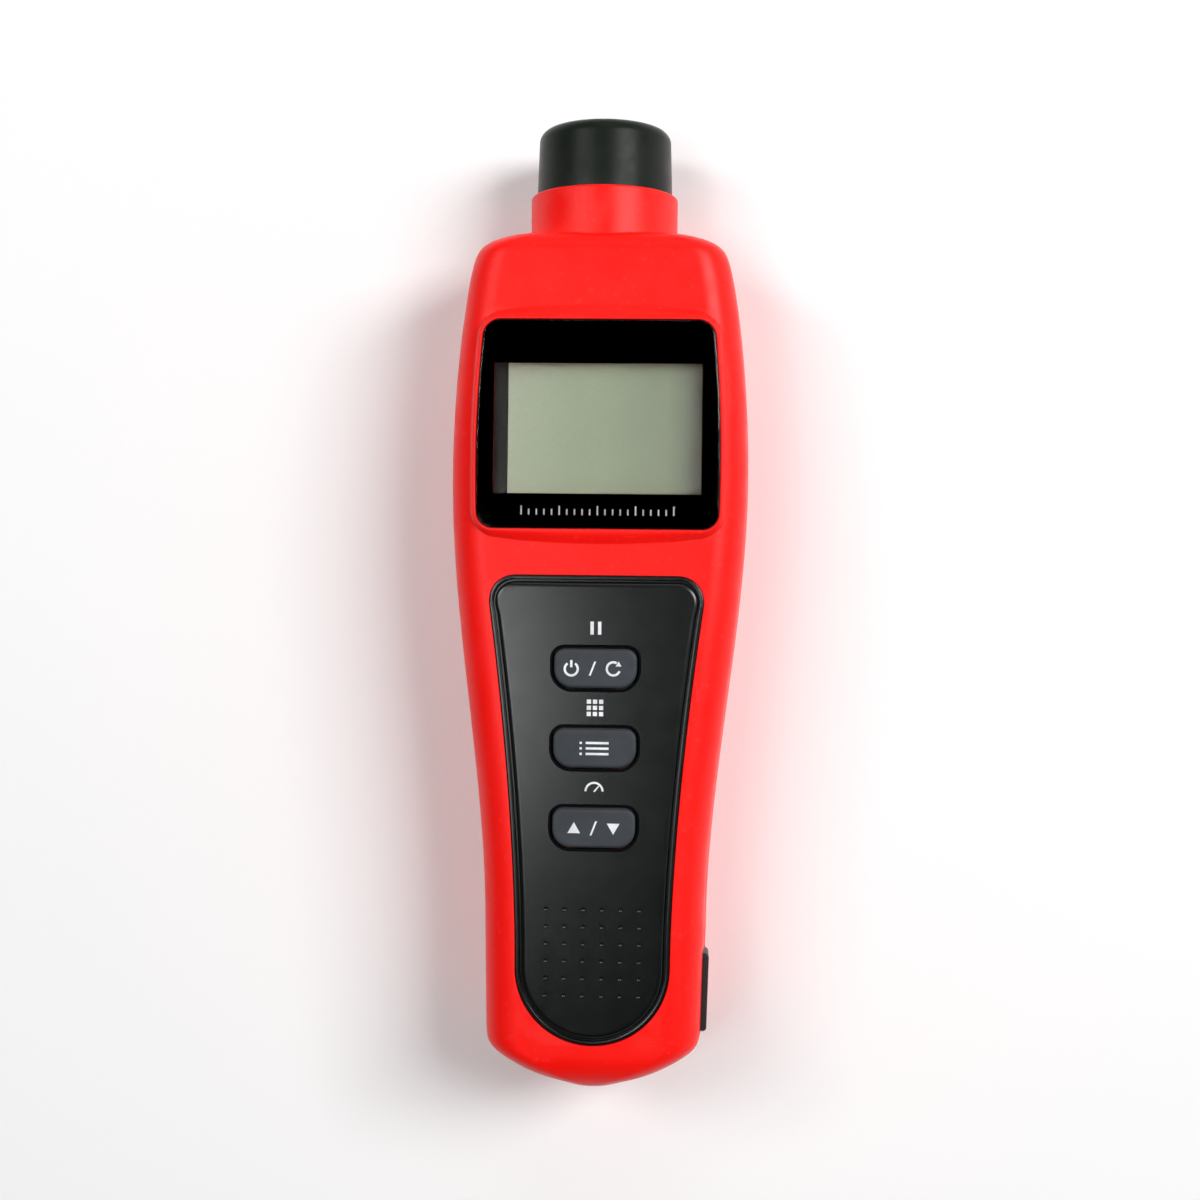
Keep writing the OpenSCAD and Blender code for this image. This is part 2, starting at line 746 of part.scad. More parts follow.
module rear_shell() {
  tail = contact_t + 2 * seat_gap;
  color(red)
    difference() {
      union() {
        translate([0, 0, parting_z])
          mirror([0, 0, 1]) half_case(parting_z, back_rise, back_edge_r);
        translate([0, 0, parting_z]) half_collar();
        bay_walls();
        for (at = case_posts)
          let (foot = parting_z - case_depth(at[1], 0, parting_z, back_rise) + wall * post_foot_share)
            post(at, foot, parting_z - foot, case_head_d + 2 * (seat_gap + post_wall));
      }
      collar_bore();
      door_way(move_gap);
      box([-bay_half_w, y_bay, -over], [bay_half_w, y_bay_top, bay_roof_z]);
      for (s = [-1, 1])
        box(
          [s * cell_pitch / 2 - tail_w / 2 - seat_gap, y_bay_top - tail, bay_roof_z - over],
          [s * cell_pitch / 2 + tail_w / 2 + seat_gap, y_bay_top, bay_roof_z + bay_wall + over]
        );
      for (at = case_posts) {
        post(at, -over, head_recess_z + over, case_head_d + 2 * seat_gap);
        post(at, 0, parting_z + over, case_screw_d + 2 * seat_gap);
      }
    }
}

module battery_door() {
  half = door_half_w;
  color(red)
    difference() {
      union() {
        intersection() {
          translate([0, 0, parting_z])
            mirror([0, 0, 1]) half_case(parting_z, back_rise, back_edge_r);
          union() {
            box([-half, y_end - over, -over], [half, y_door, ledge_z - move_gap]);
            box([-half, y_end - over, -over], [half, y_bay - bay_wall - 2 * move_gap, door_end_h]);
          }
        }
        for (s = [-1, 1])
          scale([s, 1, 1])
            box(
              [half - tongue_w, y_bay, tongue_z],
              [half + tongue_w - seat_gap, y_door - tongue_w, tongue_z + tongue_t]
            );
      }
      for (i = [0:grip_ribs - 1])
        translate([0, y_bay + wall + i * rib_pitch, 0])
          rotate([0, 90, 0]) cylinder(h = rib_w, r = rib_d, center = true);
    }
}

module nose_hood() {
  base = y_collar;
  flat_y = y_tip - hood_round;
  tip_r = hood_tip_d / 2;
  root = y_shoulder - wall;
  lock_y = y_shoulder + flange_w + seat_gap;
  outline = concat(
    [
      [hood_bore_r, root], [spigot_r, root],
      [spigot_r, lock_y], [spigot_r + flange_w, lock_y],
      [spigot_r + flange_w, lock_y + flange_w], [spigot_r, lock_y + flange_w],
      [spigot_r, base], [hood_d / 2, base],
    ],
    [
      for (i = [0:arc_steps])
        let (a = 90 * i / arc_steps) [
          tip_r - hood_round + hood_round * cos(a), flat_y + hood_round * sin(a)
        ],
    ],
    [
      [mouth_d / 2 + seat_gap, y_tip], [mouth_d / 2, y_tip - seat_gap],
      [mouth_d / 2, y_window - window_t], [hood_bore_r, y_window - window_t],
    ]
  );
  color(black)
    along_nose()
      rotate_extrude() polygon(outline);
}

module nose_window() {
  color(smoked_red)
    along_nose()
      translate([0, 0, y_window - window_t]) cylinder(h = window_t, r = mouth_d / 2 - bore_gap);
}

module optics_holder() {
  len = y_window - window_t - seat_gap - y_sensor - board_t;
  color(black)
    along_nose()
      translate([0, 0, y_sensor + board_t])
        difference() {
          cylinder(h = len, r = holder_r);
          translate([-laser_x, 0, -over])
            cylinder(h = len + 2 * over, d = laser_d + 2 * bore_gap);
          translate([lens_x, 0, -over])
            cylinder(h = len + 2 * over, d = lens_d - lens_rim_t);
          translate([lens_x, 0, len - 2 * lens_rim_t - lens_rise])
            cylinder(h = len, d = lens_d + 2 * bore_gap);
        }
}

module receiver_lens() {
  y = y_window - window_t - seat_gap - 2 * lens_rim_t - lens_rise;
  r = lens_d / 2;
  dome_r = (r * r + lens_rise * lens_rise) / (2 * lens_rise);
  outline = concat(
    [[0, 0], [r, 0]],
    [
      for (i = [0:arc_steps])
        let (x = r * cos(90 * i / arc_steps)) [
          x, lens_rim_t + sqrt(dome_r * dome_r - x * x) - dome_r + lens_rise
        ],
    ]
  );
  color(clear)
    along_nose()
      translate([lens_x, 0, y])
        rotate_extrude() polygon(outline);
}

module laser_barrel() {
  color(brassy)
    along_nose()
      translate([-laser_x, 0, y_sensor + board_t])
        difference() {
          cylinder(h = laser_len, d = laser_d);
          translate([0, 0, laser_len - laser_d / 2])
            cylinder(h = laser_d, d = laser_d * laser_eye_share);
        }
}

module laser_lens() {
  color(clear)
    along_nose()
      translate([-laser_x, 0, y_sensor + board_t + laser_len - laser_d / 2])
        cylinder(h = laser_d / 4, d = laser_d * laser_eye_share - 2 * bore_gap);
}

module photodiode() {
  r = (lens_d - lens_rim_t) / 2 - move_gap;
  color(dark)
    along_nose()
      translate([lens_x, 0, y_sensor + board_t]) {
        cylinder(h = board_t / 2, r = r);
        cylinder(h = 2 * board_t, r = r - board_t / 2);
        translate([0, 0, 2 * board_t]) sphere(r = r - board_t / 2);
      }
}

module sensor_board() {
  color(copper_green)
    box(
      [-tab_w / 2, y_sensor, parting_z - holder_r],
      [tab_w / 2, y_sensor + board_t, board_z + board_t / 2]
    );
}

module display_window() {
  color(clear) plate(glass_outline(0), seat_z + mask_t, glass_t);
}

module display_mask() {
  color(black)
    difference() {
      plate(glass_outline(0), seat_z, mask_t);
      view_opening(seat_z - over, mask_t + 2 * over, 0);
    }
}

module lcd_place(grow, z, h) {
  box(
    [lcd_shift - lcd_w / 2 - grow, lcd_y - lcd_h / 2 - grow, z],
    [lcd_shift + lcd_w / 2 + grow, lcd_y + lcd_h / 2 + grow, z + h]
  );
}

module lcd_panel() {
  color(lcd_grey) lcd_place(0, strip_z, lcd_t);
}

module lcd_frame() {
  z = board_z;
  ledge = strip_w * strip_ledge_share;
  color(dark)
    difference() {
      box(frame_low, frame_high);
      lcd_place(seat_gap, strip_z, lcd_t + over);
      lcd_place(-ledge, z - over, strip_z - z + 2 * over);
      strip_slots(seat_gap);
    }
}

module strip_slots(gap) {
  edge = lcd_h / 2 - strip_w * strip_edge_share;
  half = lcd_w / 2 - strip_w;
  for (s = [-1, 1])
    translate([lcd_shift, lcd_y + s * edge, 0])
      box(
        [-half - gap, -strip_w / 2 - gap, board_z - (gap > 0 ? over : 0)],
        [half + gap, strip_w / 2 + gap, strip_z + (gap > 0 ? over : 0)]
      );
}

module connector_strips() {
  color(strip_pink) strip_slots(0);
}

// The main board: wide behind the display, narrow behind the keys, with a tab and a foot
function board_outline() =
  mirrored([
    [foot_w / 2, board_end_y],
    [foot_w / 2, board_end_y + foot_len],
    [board_neck_w / 2, board_end_y + foot_len],
    [board_neck_w / 2, board_head_y],
    [board_w / 2, board_head_y],
    [board_w / 2, board_top_y],
    [tab_w / 2, board_top_y],
    [tab_w / 2, y_sensor],
  ]);

module main_board() {
  color(copper_green)
    difference() {
      plate(board_outline(), board_z - board_t, board_t);
      for (at = board_posts) post(at, board_z - 2 * board_t, 3 * board_t, board_screw_d + 2 * seat_gap);
      for (at = case_posts) post(at, board_z - 2 * board_t, 3 * board_t, case_post_d + 2 * move_gap);
    }
}

module under_board(at, size) {
  translate([at[0], at[1], board_z - board_t - size[2] / 2]) cube(size, center = true);
}

module processor_chip() {
  color(black) under_board([0, lcd_y + chip_w], [chip_w, chip_w, chip_t]);
}

module usb_chip() {
  color(black) under_board([-chip_w / 4, socket_y], [chip_w / 2, chip_w / 2, chip_t]);
}

module crystal() {
  size = [chip_w * crystal_share, chip_w * crystal_share / 2, 2 * chip_t];
  color(metal) under_board([chip_w, lcd_y + chip_w / 4], size);
}

module capacitors() {
  d = chip_w / 2;
  color(metal)
    for (s = [-1, 1])
      translate([s * chip_w, lcd_y - chip_w, board_z - board_t - 4 * chip_t])
        cylinder(h = 4 * chip_t, d = d);
}

// The keypad panel: a lip, a groove and a pillowed field with the key openings
module keypad_panel() {
  inner = -lip_w - groove_w;
  color(dark)
    difference() {
      union() {
        plate(panel_outline(0), pocket_z, pocket_d + panel_proud - groove_w / 2);
        pillow(inner, pocket_z + pocket_d / 2, panel_z);
      }
      difference() {
        plate(panel_outline(-lip_w), front_z + panel_proud - groove_w / 2 - groove_d, groove_d + over);
        pillow(inner, pocket_z - over, panel_z);
      }
      key_holes(move_gap, pocket_z - over, panel_z - pocket_z + 2 * over);
      key_holes(move_gap + well_w, panel_z - well_d, well_d + over);
      dimples();
    }
}

// A square grid of shallow round dimples at the panel's lower end
module dimples() {
  for (row = [0:dimple_count - 1], i = [0:dimple_count - 1])
    post(
      [(i - (dimple_count - 1) / 2) * dimple_pitch, panel_low + dimple_pos - row * dimple_row],
      panel_z - dimple_depth, dimple_depth + over, dimple_d
    );
}

// A block over the panel's outline whose upper edge is rounded over
module pillow(grow, z0, z1) {
  r = pillow_r;
  rings = concat(
    [[for (p = panel_outline(grow)) [p[0], p[1], z0]]],
    [
      for (i = [0:pillow_steps])
        let (a = 90 * i / pillow_steps)
        [for (p = panel_outline(grow - r * (1 - cos(a)))) [p[0], p[1], z1 - pillow_h * (1 - sin(a))]],
    ]
  );
  n = len(rings[0]);
  top = (len(rings) - 1) * n;
  sides = [
    for (k = [0:len(rings) - 2], j = [0:n - 1])
      let (a = k * n + j, b = k * n + (j + 1) % n)
      each [[a, b + n, b], [a, a + n, b + n]]
  ];
  polyhedron(
    points = [for (ring = rings) each ring],
    faces = concat(sides, [[for (j = [0:n - 1]) j], [for (j = [n - 1:-1:0]) top + j]])
  );
}

module keypad_mat() {
  color(rubber_grey)
    difference() {
      box(
        [-mat_w / 2, key_y - 2 * key_pitch - key_h / 2 - mat_edge, board_z],
        [mat_w / 2, key_y + key_h / 2 + mat_edge, mat_z]
      );
      for (i = [0:len(KEYS) - 1])
        post([0, key_y - i * key_pitch], board_z - over, mat_t + 2 * over, plunger_d + 2 * move_gap);
    }
}

function pill_z() = board_z + key_travel + move_gap;

module key(i) {
  flange_z = inner_z - move_gap - key_flange_t;
  color(rubber_grey)
    translate([0, key_y - i * key_pitch, 0]) {
      plate(key_outline(0), flange_z, key_z - flange_z - key_bevel);
      key_crown();
      plate(key_outline(key_flange), flange_z, key_flange_t);
      post([0, 0], pill_z() + pill_t, flange_z - pill_z() - pill_t + key_bevel, plunger_d);
    }
}

// The bevelled face of a key
module key_crown() {
  low = [for (p = key_outline(0)) [p[0], p[1], key_z - 2 * key_bevel]];
  mid = [for (p = key_outline(0)) [p[0], p[1], key_z - key_bevel]];
  top = [for (p = key_outline(-key_bevel)) [p[0], p[1], key_z]];
  n = len(low);
  sides = [
    for (k = [0, 1], j = [0:n - 1])
      let (a = k * n + j, b = k * n + (j + 1) % n)
      each [[a, b + n, b], [a, a + n, b + n]]
  ];
  polyhedron(
    points = concat(low, mid, top),
    faces = concat(sides, [[for (j = [0:n - 1]) j], [for (j = [n - 1:-1:0]) 2 * n + j]])
  );
}

module contact_pill(i) {
  color(black) post([0, key_y - i * key_pitch], pill_z(), pill_t, pill_d);
}

module usb_socket() {
  x1 = recess_x - seat_gap;
  x0 = x1 - socket_len;
  half_w = socket_w / 2;
  half_h = socket_h / 2;
  t = socket_wall;
  color(metal)
    difference() {
      box([x0, socket_y - half_w, socket_z - half_h], [x1, socket_y + half_w, socket_z + half_h]);
      box(
        [x0 + 2 * t, socket_y - half_w + t, socket_z - half_h + t],
        [x1 + over, socket_y + half_w - t, socket_z + half_h - t]
      );
    }
}

// The cover's outline over its bead, seen from the front: it follows the side of the case
function cover_outline() =
  let (
    y1 = cover_y + cover_len,
    r = cover_t / 2
  )
  [
    [cover_bead[0] - r, cover_bead[1]],
    [cover_bead[0] + r, cover_bead[1]],
    for (i = [0:arc_steps])
      let (a = 90 * i / arc_steps)
      [cover_x + cover_lean - r * (1 - cos(a)), y1 - r * (1 - sin(a))],
    [cover_x + cover_lean - cover_t, y1],
  ];

module usb_cover() {
  r = cover_t / 2;
  color(black)
    intersection() {
      union() {
        plate(cover_outline(), socket_z - cover_h / 2, cover_h);
        post(cover_bead, socket_z - cover_h / 2, cover_h, cover_t);
      }
      translate([cover_x - 2 * cover_t, 0, 0])
        rotate([90, 0, 90])
          linear_extrude(4 * cover_t)
            polygon([
              for (c = [[1, -1, 0], [1, 1, 90], [-1, 1, 180], [-1, -1, 270]], i = [0:arc_steps])
                let (a = c[2] - 90 + 90 * i / arc_steps) [
                  socket_y + c[0] * (cover_len / 2 - r) + r * cos(a),
                  socket_z + c[1] * (cover_h / 2 - r) + r * sin(a),
                ],
            ]);
    }
}

// A battery on its row: its button points up the row on the left and down the row on the right
module battery(i) {
  s = i % 2 == 0 ? -1 : 1;
  row = i < 2 ? 0 : 1;
  room = s < 0 ? spring_room : contact_t;
  y = y_bay + room + row * cell_len;
  r = cell_d / 2;
  e = button_len / 2;
  can = cell_len - button_len;
  color(dark)
    translate([s * cell_pitch / 2, y + (s < 0 ? 0 : cell_len), cell_z])
      rotate([s < 0 ? -90 : 90, 0, 0])
        rotate_extrude()
          polygon([
            [0, 0], [r - e, 0], [r, e], [r, can - e], [r - e, can],
            [button_d / 2, can], [button_d / 2, cell_len], [0, cell_len],
          ]);
}

// A flat contact against an end wall of the bay
module contact_plate(s, y) {
  w = cell_d * plate_share;
  box(
    [s * cell_pitch / 2 - w / 2, y, ledge_z + ledge_t],
    [s * cell_pitch / 2 + w / 2, y + contact_t, bay_roof_z - seat_gap]
  );
}

// A bent leaf that presses on a battery's flat end, reaching out along Y by its side
module contact_leaf(s, y, side) {
  w = tail_w;
  reach = spring_room - contact_t;
  low = cell_z - cell_d * leaf_share;
  high = cell_z + cell_d * leaf_share;
  t = contact_t;
  translate([s * cell_pitch / 2 - w / 2, y, 0])
    rotate([90, 0, 90])
      linear_extrude(w)
        polygon([
          [0, low], [side * reach, cell_z - t], [side * reach, cell_z + t], [0, high],
          [0, high - 2 * t], [side * (reach - t), cell_z], [0, low + 2 * t],
        ]);
}

module contact_tail(s) {
  box(
    [s * cell_pitch / 2 - tail_w / 2, y_bay_top - contact_t, bay_roof_z - 2 * seat_gap],
    [s * cell_pitch / 2 + tail_w / 2, y_bay_top, board_z - board_t]
  );
}

module contact_bridge() {
  half = cell_pitch / 2;
  color(metal) {
    contact_plate(-1, y_bay);
    contact_plate(1, y_bay);
    box([-half, y_bay, cell_z - tail_w / 2], [half, y_bay + contact_t, cell_z + tail_w / 2]);
    contact_leaf(-1, y_bay + contact_t, 1);
  }
}

module contact_positive() {
  color(metal) {
    contact_plate(-1, y_bay_top - contact_t);
    contact_tail(-1);
  }
}

module contact_negative() {
  color(metal) {
    contact_plate(1, y_bay_top - contact_t);
    contact_tail(1);
    contact_leaf(1, y_bay_top - contact_t, -1);
  }
}

// A screw with its head below the seat and its shank above
module screw(at, z, len, d, head_d, head_t) {
  translate([at[0], at[1], z])
    difference() {
      union() {
        cylinder(h = len, d = d);
        translate([0, 0, -head_t]) cylinder(h = head_t, d = head_d);
      }
      for (a = [0, 90])
        rotate([0, 0, a])
          translate([0, 0, -head_t])
            cube([head_d * slot_len_share, head_d * slot_w_share, head_t], center = true);
    }
}

module case_screws() {
  color(metal)
    for (at = case_posts)
      screw(at, head_recess_z, case_screw_len, case_screw_d, case_head_d, case_head_t);
}

module board_screws() {
  len = board_t + board_screw_len - seat_gap;
  color(metal)
    for (at = board_posts)
      screw(at, board_z - board_t, len, board_screw_d, board_head_d, board_head_t);
}

front_shell();
rear_shell();
battery_door();
nose_hood();
nose_window();
optics_holder();
receiver_lens();
laser_barrel();
laser_lens();
photodiode();
sensor_board();
display_window();
display_mask();
lcd_panel();
lcd_frame();
connector_strips();
main_board();
processor_chip();
usb_chip();
crystal();
capacitors();
keypad_panel();
keypad_mat();
usb_socket();
usb_cover();
contact_bridge();
contact_positive();
contact_negative();
case_screws();
board_screws();
for (i = [0:len(CELLS) - 1])
  battery(i);
for (i = [0:len(KEYS) - 1])
  key(i);
for (i = [0:len(PILLS) - 1])
  contact_pill(i);
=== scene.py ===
import math

import bpy
import bmesh
from mathutils import Matrix, Vector


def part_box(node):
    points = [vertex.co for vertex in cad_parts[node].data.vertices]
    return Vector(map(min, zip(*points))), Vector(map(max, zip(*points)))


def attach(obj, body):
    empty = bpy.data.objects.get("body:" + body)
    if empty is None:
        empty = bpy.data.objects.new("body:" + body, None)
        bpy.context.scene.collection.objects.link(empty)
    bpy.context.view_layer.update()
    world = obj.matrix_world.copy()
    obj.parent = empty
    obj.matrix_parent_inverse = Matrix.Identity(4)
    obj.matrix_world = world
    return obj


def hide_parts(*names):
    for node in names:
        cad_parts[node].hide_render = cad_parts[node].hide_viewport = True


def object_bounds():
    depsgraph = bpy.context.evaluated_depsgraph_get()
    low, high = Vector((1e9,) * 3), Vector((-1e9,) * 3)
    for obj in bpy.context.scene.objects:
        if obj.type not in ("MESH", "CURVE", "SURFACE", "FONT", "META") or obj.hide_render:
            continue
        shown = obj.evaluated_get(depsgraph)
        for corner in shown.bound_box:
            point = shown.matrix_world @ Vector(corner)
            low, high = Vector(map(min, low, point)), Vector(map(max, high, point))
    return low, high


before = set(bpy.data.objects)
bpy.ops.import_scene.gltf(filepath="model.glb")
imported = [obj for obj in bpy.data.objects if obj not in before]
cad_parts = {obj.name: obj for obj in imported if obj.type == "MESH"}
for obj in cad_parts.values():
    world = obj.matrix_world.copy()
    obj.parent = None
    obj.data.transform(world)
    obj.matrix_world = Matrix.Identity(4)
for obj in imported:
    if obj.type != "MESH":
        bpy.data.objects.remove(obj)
cad_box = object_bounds()

MM = 0.001

# The case, in millimetres, as the frame has it
HOOD_LEN = 12.9
COLLAR_LEN = 8.6
Y_END, Y_TIP = [corner[1] / MM for corner in cad_box]
Y_COLLAR = Y_TIP - HOOD_LEN
Y_SHOULDER = Y_COLLAR - COLLAR_LEN
Y_HEAD = Y_SHOULDER - 45.0
Y_GRIP = Y_END + 28.8
HEAD_W, SHOULDER_W, GRIP_W, END_W = 56.1, 47.6, 41.9, 40.6
END_R, SHOULDER_R, SHOULDER_RISE = 26.0, 85.0, 1.6
FRONT_Z, PARTING_Z, WALL = 33.0, 17.0, 2.2
EDGE_R, BACK_EDGE_R, SIDE_DRAFT = 6.5, 8.0, 0.6
EDGE_LIMIT_SHARE, DRAFT_LIMIT_SHARE = 0.9, 0.1
SEAM_W, SHELL_BEVEL = 0.16, 0.12
END_ROUND, SHOULDER_ROUND = 7.0, 4.0
BACK_RISE, BACK_RISE_LEN = 3.0, 22.0
END_SOFTNESS, SHOULDER_SOFTNESS = 24, 7
APEX_TRIM, TINY = 0.1, 0.01
INNER_Z = FRONT_Z - WALL
OVER = 1.0

# Fineness of the modelled meshes, and the distances in metres under which two points become one
STATIONS = 150
EDGE_STEPS = 14
CORNER_STEPS = 14
ROUND_STEPS = 160
WINDOW_STEPS, WINDOW_ACROSS = 24, 10
PANEL_STEPS, PANEL_ACROSS = 40, 12
SLOPE_STEPS = 8
MERGE_DIST, WELD_DIST = 1e-7, 2e-7

# The nose
COLLAR_R = 14.0
COLLAR_BORE_R = 11.6
COLLAR_ROOT, COLLAR_RIM_R = 4.0, 0.45
SPIGOT_R = COLLAR_BORE_R - 0.05
HOOD_R, HOOD_TIP_R, HOOD_ROUND = 12.9, 12.6, 2.4
MOUTH_R, MOUTH_RIM_R, WINDOW_RECESS, WINDOW_T = 9.6, 0.35, 4.6, 1.2
HOLDER_BORE_R = 8.85
LOCK_W = 0.9

# The display, with the scale printed under it
GLASS_H = 38.2
GLASS_TOP = Y_SHOULDER - 16.9
GLASS_LOW = GLASS_TOP - GLASS_H
GLASS_MID = Y_HEAD + 2.5
GLASS_W, GLASS_TOP_W, GLASS_LOW_W, GLASS_CORNER_R = 44.7, 42.0, 44.2, 2.9
GLASS_T, GLASS_EDGE_R, MASK_T, MASK_GAP = 1.2, 0.3, 0.25, 0.02
VIEW_W, VIEW_H, VIEW_LOW = 38.5, 24.5, 6.1
SURROUND_H, SURROUND_RIM, SLOPE_SIDE, SLOPE_BOW = 1.0, 0.4, 0.9, 2.6
SLOPE_POWER, BULGE_SHARP = 0.8, 6
TOP_Z = FRONT_Z + SURROUND_H
SEAT_Z = TOP_Z - GLASS_T - MASK_T
VIEW_Y = GLASS_LOW + VIEW_LOW
PRINT_OVER = 0.3
LCD_HALF = 19.5
SCALE_RISE, SCALE_COUNT, SCALE_PITCH, SCALE_LONG = 3.0, 21, 1.4, 5

# The keypad, with its printed signs
PANEL_LOW = Y_END + 9.0
PANEL_TOP = GLASS_LOW - 8.65
PANEL_HALF, PANEL_END_R, PANEL_CORNER_R, PANEL_POWER = 20.35, 14.1, 5.5, 1.7
PANEL_Z = FRONT_Z + 0.3
PANEL_CROWN = 0.25
POCKET_Z = FRONT_Z - 1.2
LIP_W, GROOVE_W, GROOVE_D = 0.7, 0.8, 0.7
LIP_DROP = GROOVE_W / 2
FIELD_EDGE_R, FIELD_DROP, FIELD_LAP = 0.9, 0.6, 0.3
KEY_W, KEY_H, KEY_TOP_R, KEY_LOW_R = 15.2, 7.1, 1.9, 3.3
KEY_PITCH = 14.6
KEY_Y = PANEL_TOP - 16.95
KEY_Z = PANEL_Z + 0.6
KEY_BEVEL, KEY_SKIRT, KEY_RIM, KEY_DISH = 0.5, 0.55, 1.7, 0.05
FLANGE_W, FLANGE_T, PLUNGER_R = 1.0, 1.2, 3.0
WELL_W, WELL_D = 0.4, 0.25
DIMPLE_R, DIMPLE_DEPTH, DIMPLE_PITCH, DIMPLE_ROW, DIMPLE_COUNT = 0.475, 0.25, 3.43, 3.15, 6
DIMPLE_Y = PANEL_LOW + 24.9
SIGN_RISE, SIGN_SCALE = 7.4, 1.25
KEYS = [("key_power", "power_key"), ("key_menu", "menu_key"), ("key_mode", "mode_key")]

# The battery bay and its door, and the width under which a cell's end is its button
BAY_HALF, BAY_WALL = 11.0, 1.2
Y_BAY = Y_END + 7.6
Y_BAY_TOP = Y_BAY + 93.0
BAY_ROOF_Z = 13.45
DOOR_HALF, DOOR_END_H, TONGUE_W, TONGUE_T = 11.9, 8.0, 1.2, 1.0
LEDGE_W, LEDGE_T = 1.6, 1.2
RIB_COUNT, RIB_PITCH, RIB_R, RIB_LEN = 6, 2.6, 0.5, 14.0
TAIL_W, CONTACT_T, CELL_PITCH = 3.0, 0.4, 11.0
BUTTON_LIMIT = 6.0
SEAT_GAP, MOVE_GAP = 0.15, 0.35
TONGUE_Z = WALL - TONGUE_T + SEAT_GAP
LEDGE_Z = TONGUE_Z + TONGUE_T + MOVE_GAP
Y_DOOR = Y_BAY_TOP + BAY_WALL + MOVE_GAP

# The socket's cover
COVER_LEN, COVER_H, COVER_T, COVER_PROUD, COVER_BEVEL = 14.7, 7.4, 1.8, 0.6, 0.22
SOCKET_W, SOCKET_H = 7.7, 3.9
COVER_Y = Y_END + 10.2

# The posts and screws
CASE_POST_R, CASE_POST_EDGE, CASE_SCREW_LEN = 2.9, 6.9, 16.0
CASE_POST_ROWS = (GLASS_TOP + 4.9, Y_END + 60.8)
HEAD_RECESS_R, HEAD_RECESS_Z, HEAD_WALL, POST_ROOT_SHARE = 2.35, 9.0, 0.9, 0.9
CASE_BORE_R, CASE_HOLE_R = 1.3, 1.4
BOARD_Z, BOARD_POST_R, BOARD_BORE_R, BOARD_BORE_LEN = 25.6, 2.2, 1.05, 5.0
BOARD_POSTS = ((19.3, GLASS_TOP - 1.1), (19.3, GLASS_LOW - 2.35), (12.85, COVER_Y + 13.9))


def blend(a, b, t):
    return a + (b - a) * t


def ease(t):
    return t * t * (3 - 2 * t)


def within(t):
    return min(1.0, max(0.0, t))


def soft_min(a, b, power):
    return (a ** -power + b ** -power) ** (-1 / power)


def drop(gap, r):
    return 0.0 if gap >= r else r - math.sqrt(max(0.0, r * r - (r - gap) ** 2))


def quarter(steps):
    return [math.pi / 2 * i / steps for i in range(steps + 1)]


def circle(cx, cy, r, steps):
    turns = [2 * math.pi * i / steps for i in range(steps)]
    return [(cx + r * math.cos(a), cy + r * math.sin(a)) for a in turns]


def mirrored(right):
    """A closed outline from its right half, with one point where it crosses the middle line."""
    return right + [(-x, y) for x, y in reversed(right) if x > 1e-6]


def moved(outline, dx, dy):
    return [(x + dx, y + dy) for x, y in outline]


def side_half(y):
    if y > Y_HEAD:
        return blend(HEAD_W, SHOULDER_W, ((y - Y_HEAD) / (Y_SHOULDER - Y_HEAD)) ** 2) / 2
    if y > Y_GRIP:
        return blend(GRIP_W, HEAD_W, ease((y - Y_GRIP) / (Y_HEAD - Y_GRIP))) / 2
    return blend(END_W, GRIP_W, (y - Y_END) / (Y_GRIP - Y_END)) / 2


def case_half(y, inset):
    end_gap = max(TINY, y - Y_END - inset + APEX_TRIM)
    shoulder_gap = max(TINY, Y_SHOULDER + SHOULDER_RISE - inset - y)
    side = soft_min(side_half(y) - inset, math.sqrt(2 * (END_R - inset) * end_gap), END_SOFTNESS)
    return soft_min(side, math.sqrt(2 * SHOULDER_R * shoulder_gap), SHOULDER_SOFTNESS)


def case_depth(y, inset, full, rise):
    lift = rise * ease(within((y - Y_SHOULDER + BACK_RISE_LEN) / BACK_RISE_LEN))
    ends = drop(y - Y_END - inset, END_ROUND) + drop(Y_SHOULDER - inset - y, SHOULDER_ROUND)
    return full - inset - lift - ends


def section(y, inset, full, rise, edge, seam):
    """One section over the parting plane, with a small chamfer at the seam of the outer form."""
    w = case_half(y, inset)
    h = case_depth(y, inset, full, rise)
    draft = min(SIDE_DRAFT, w * DRAFT_LIMIT_SHARE)
    r = min(edge - inset, EDGE_LIMIT_SHARE * (w - draft), EDGE_LIMIT_SHARE * h)
    right = [(w - seam, 0.0), (w - 0.2 * seam, 0.6 * seam), (w, 1.6 * seam)]
    right += [(w - draft - r + r * math.cos(a), h - r + r * math.sin(a)) for a in quarter(EDGE_STEPS)]
    return [(x, y, z) for x, z in right] + [(-x, y, z) for x, z in reversed(right)]


def new_mesh(name, verts, faces, body=None):
    """A mesh piece in metres from points in millimetres, which rides on a body where one is named."""
    mesh = bpy.data.meshes.new(name)
    mesh.from_pydata([tuple(c * MM for c in v) for v in verts], [], faces)
    bm = bmesh.new()
    bm.from_mesh(mesh)
    bmesh.ops.remove_doubles(bm, verts=bm.verts, dist=MERGE_DIST)
    bmesh.ops.recalc_face_normals(bm, faces=bm.faces)
    bm.to_mesh(mesh)
    bm.free()
    obj = bpy.data.objects.new(name, mesh)
    bpy.context.scene.collection.objects.link(obj)
    if body:
        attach(obj, body)
    return obj


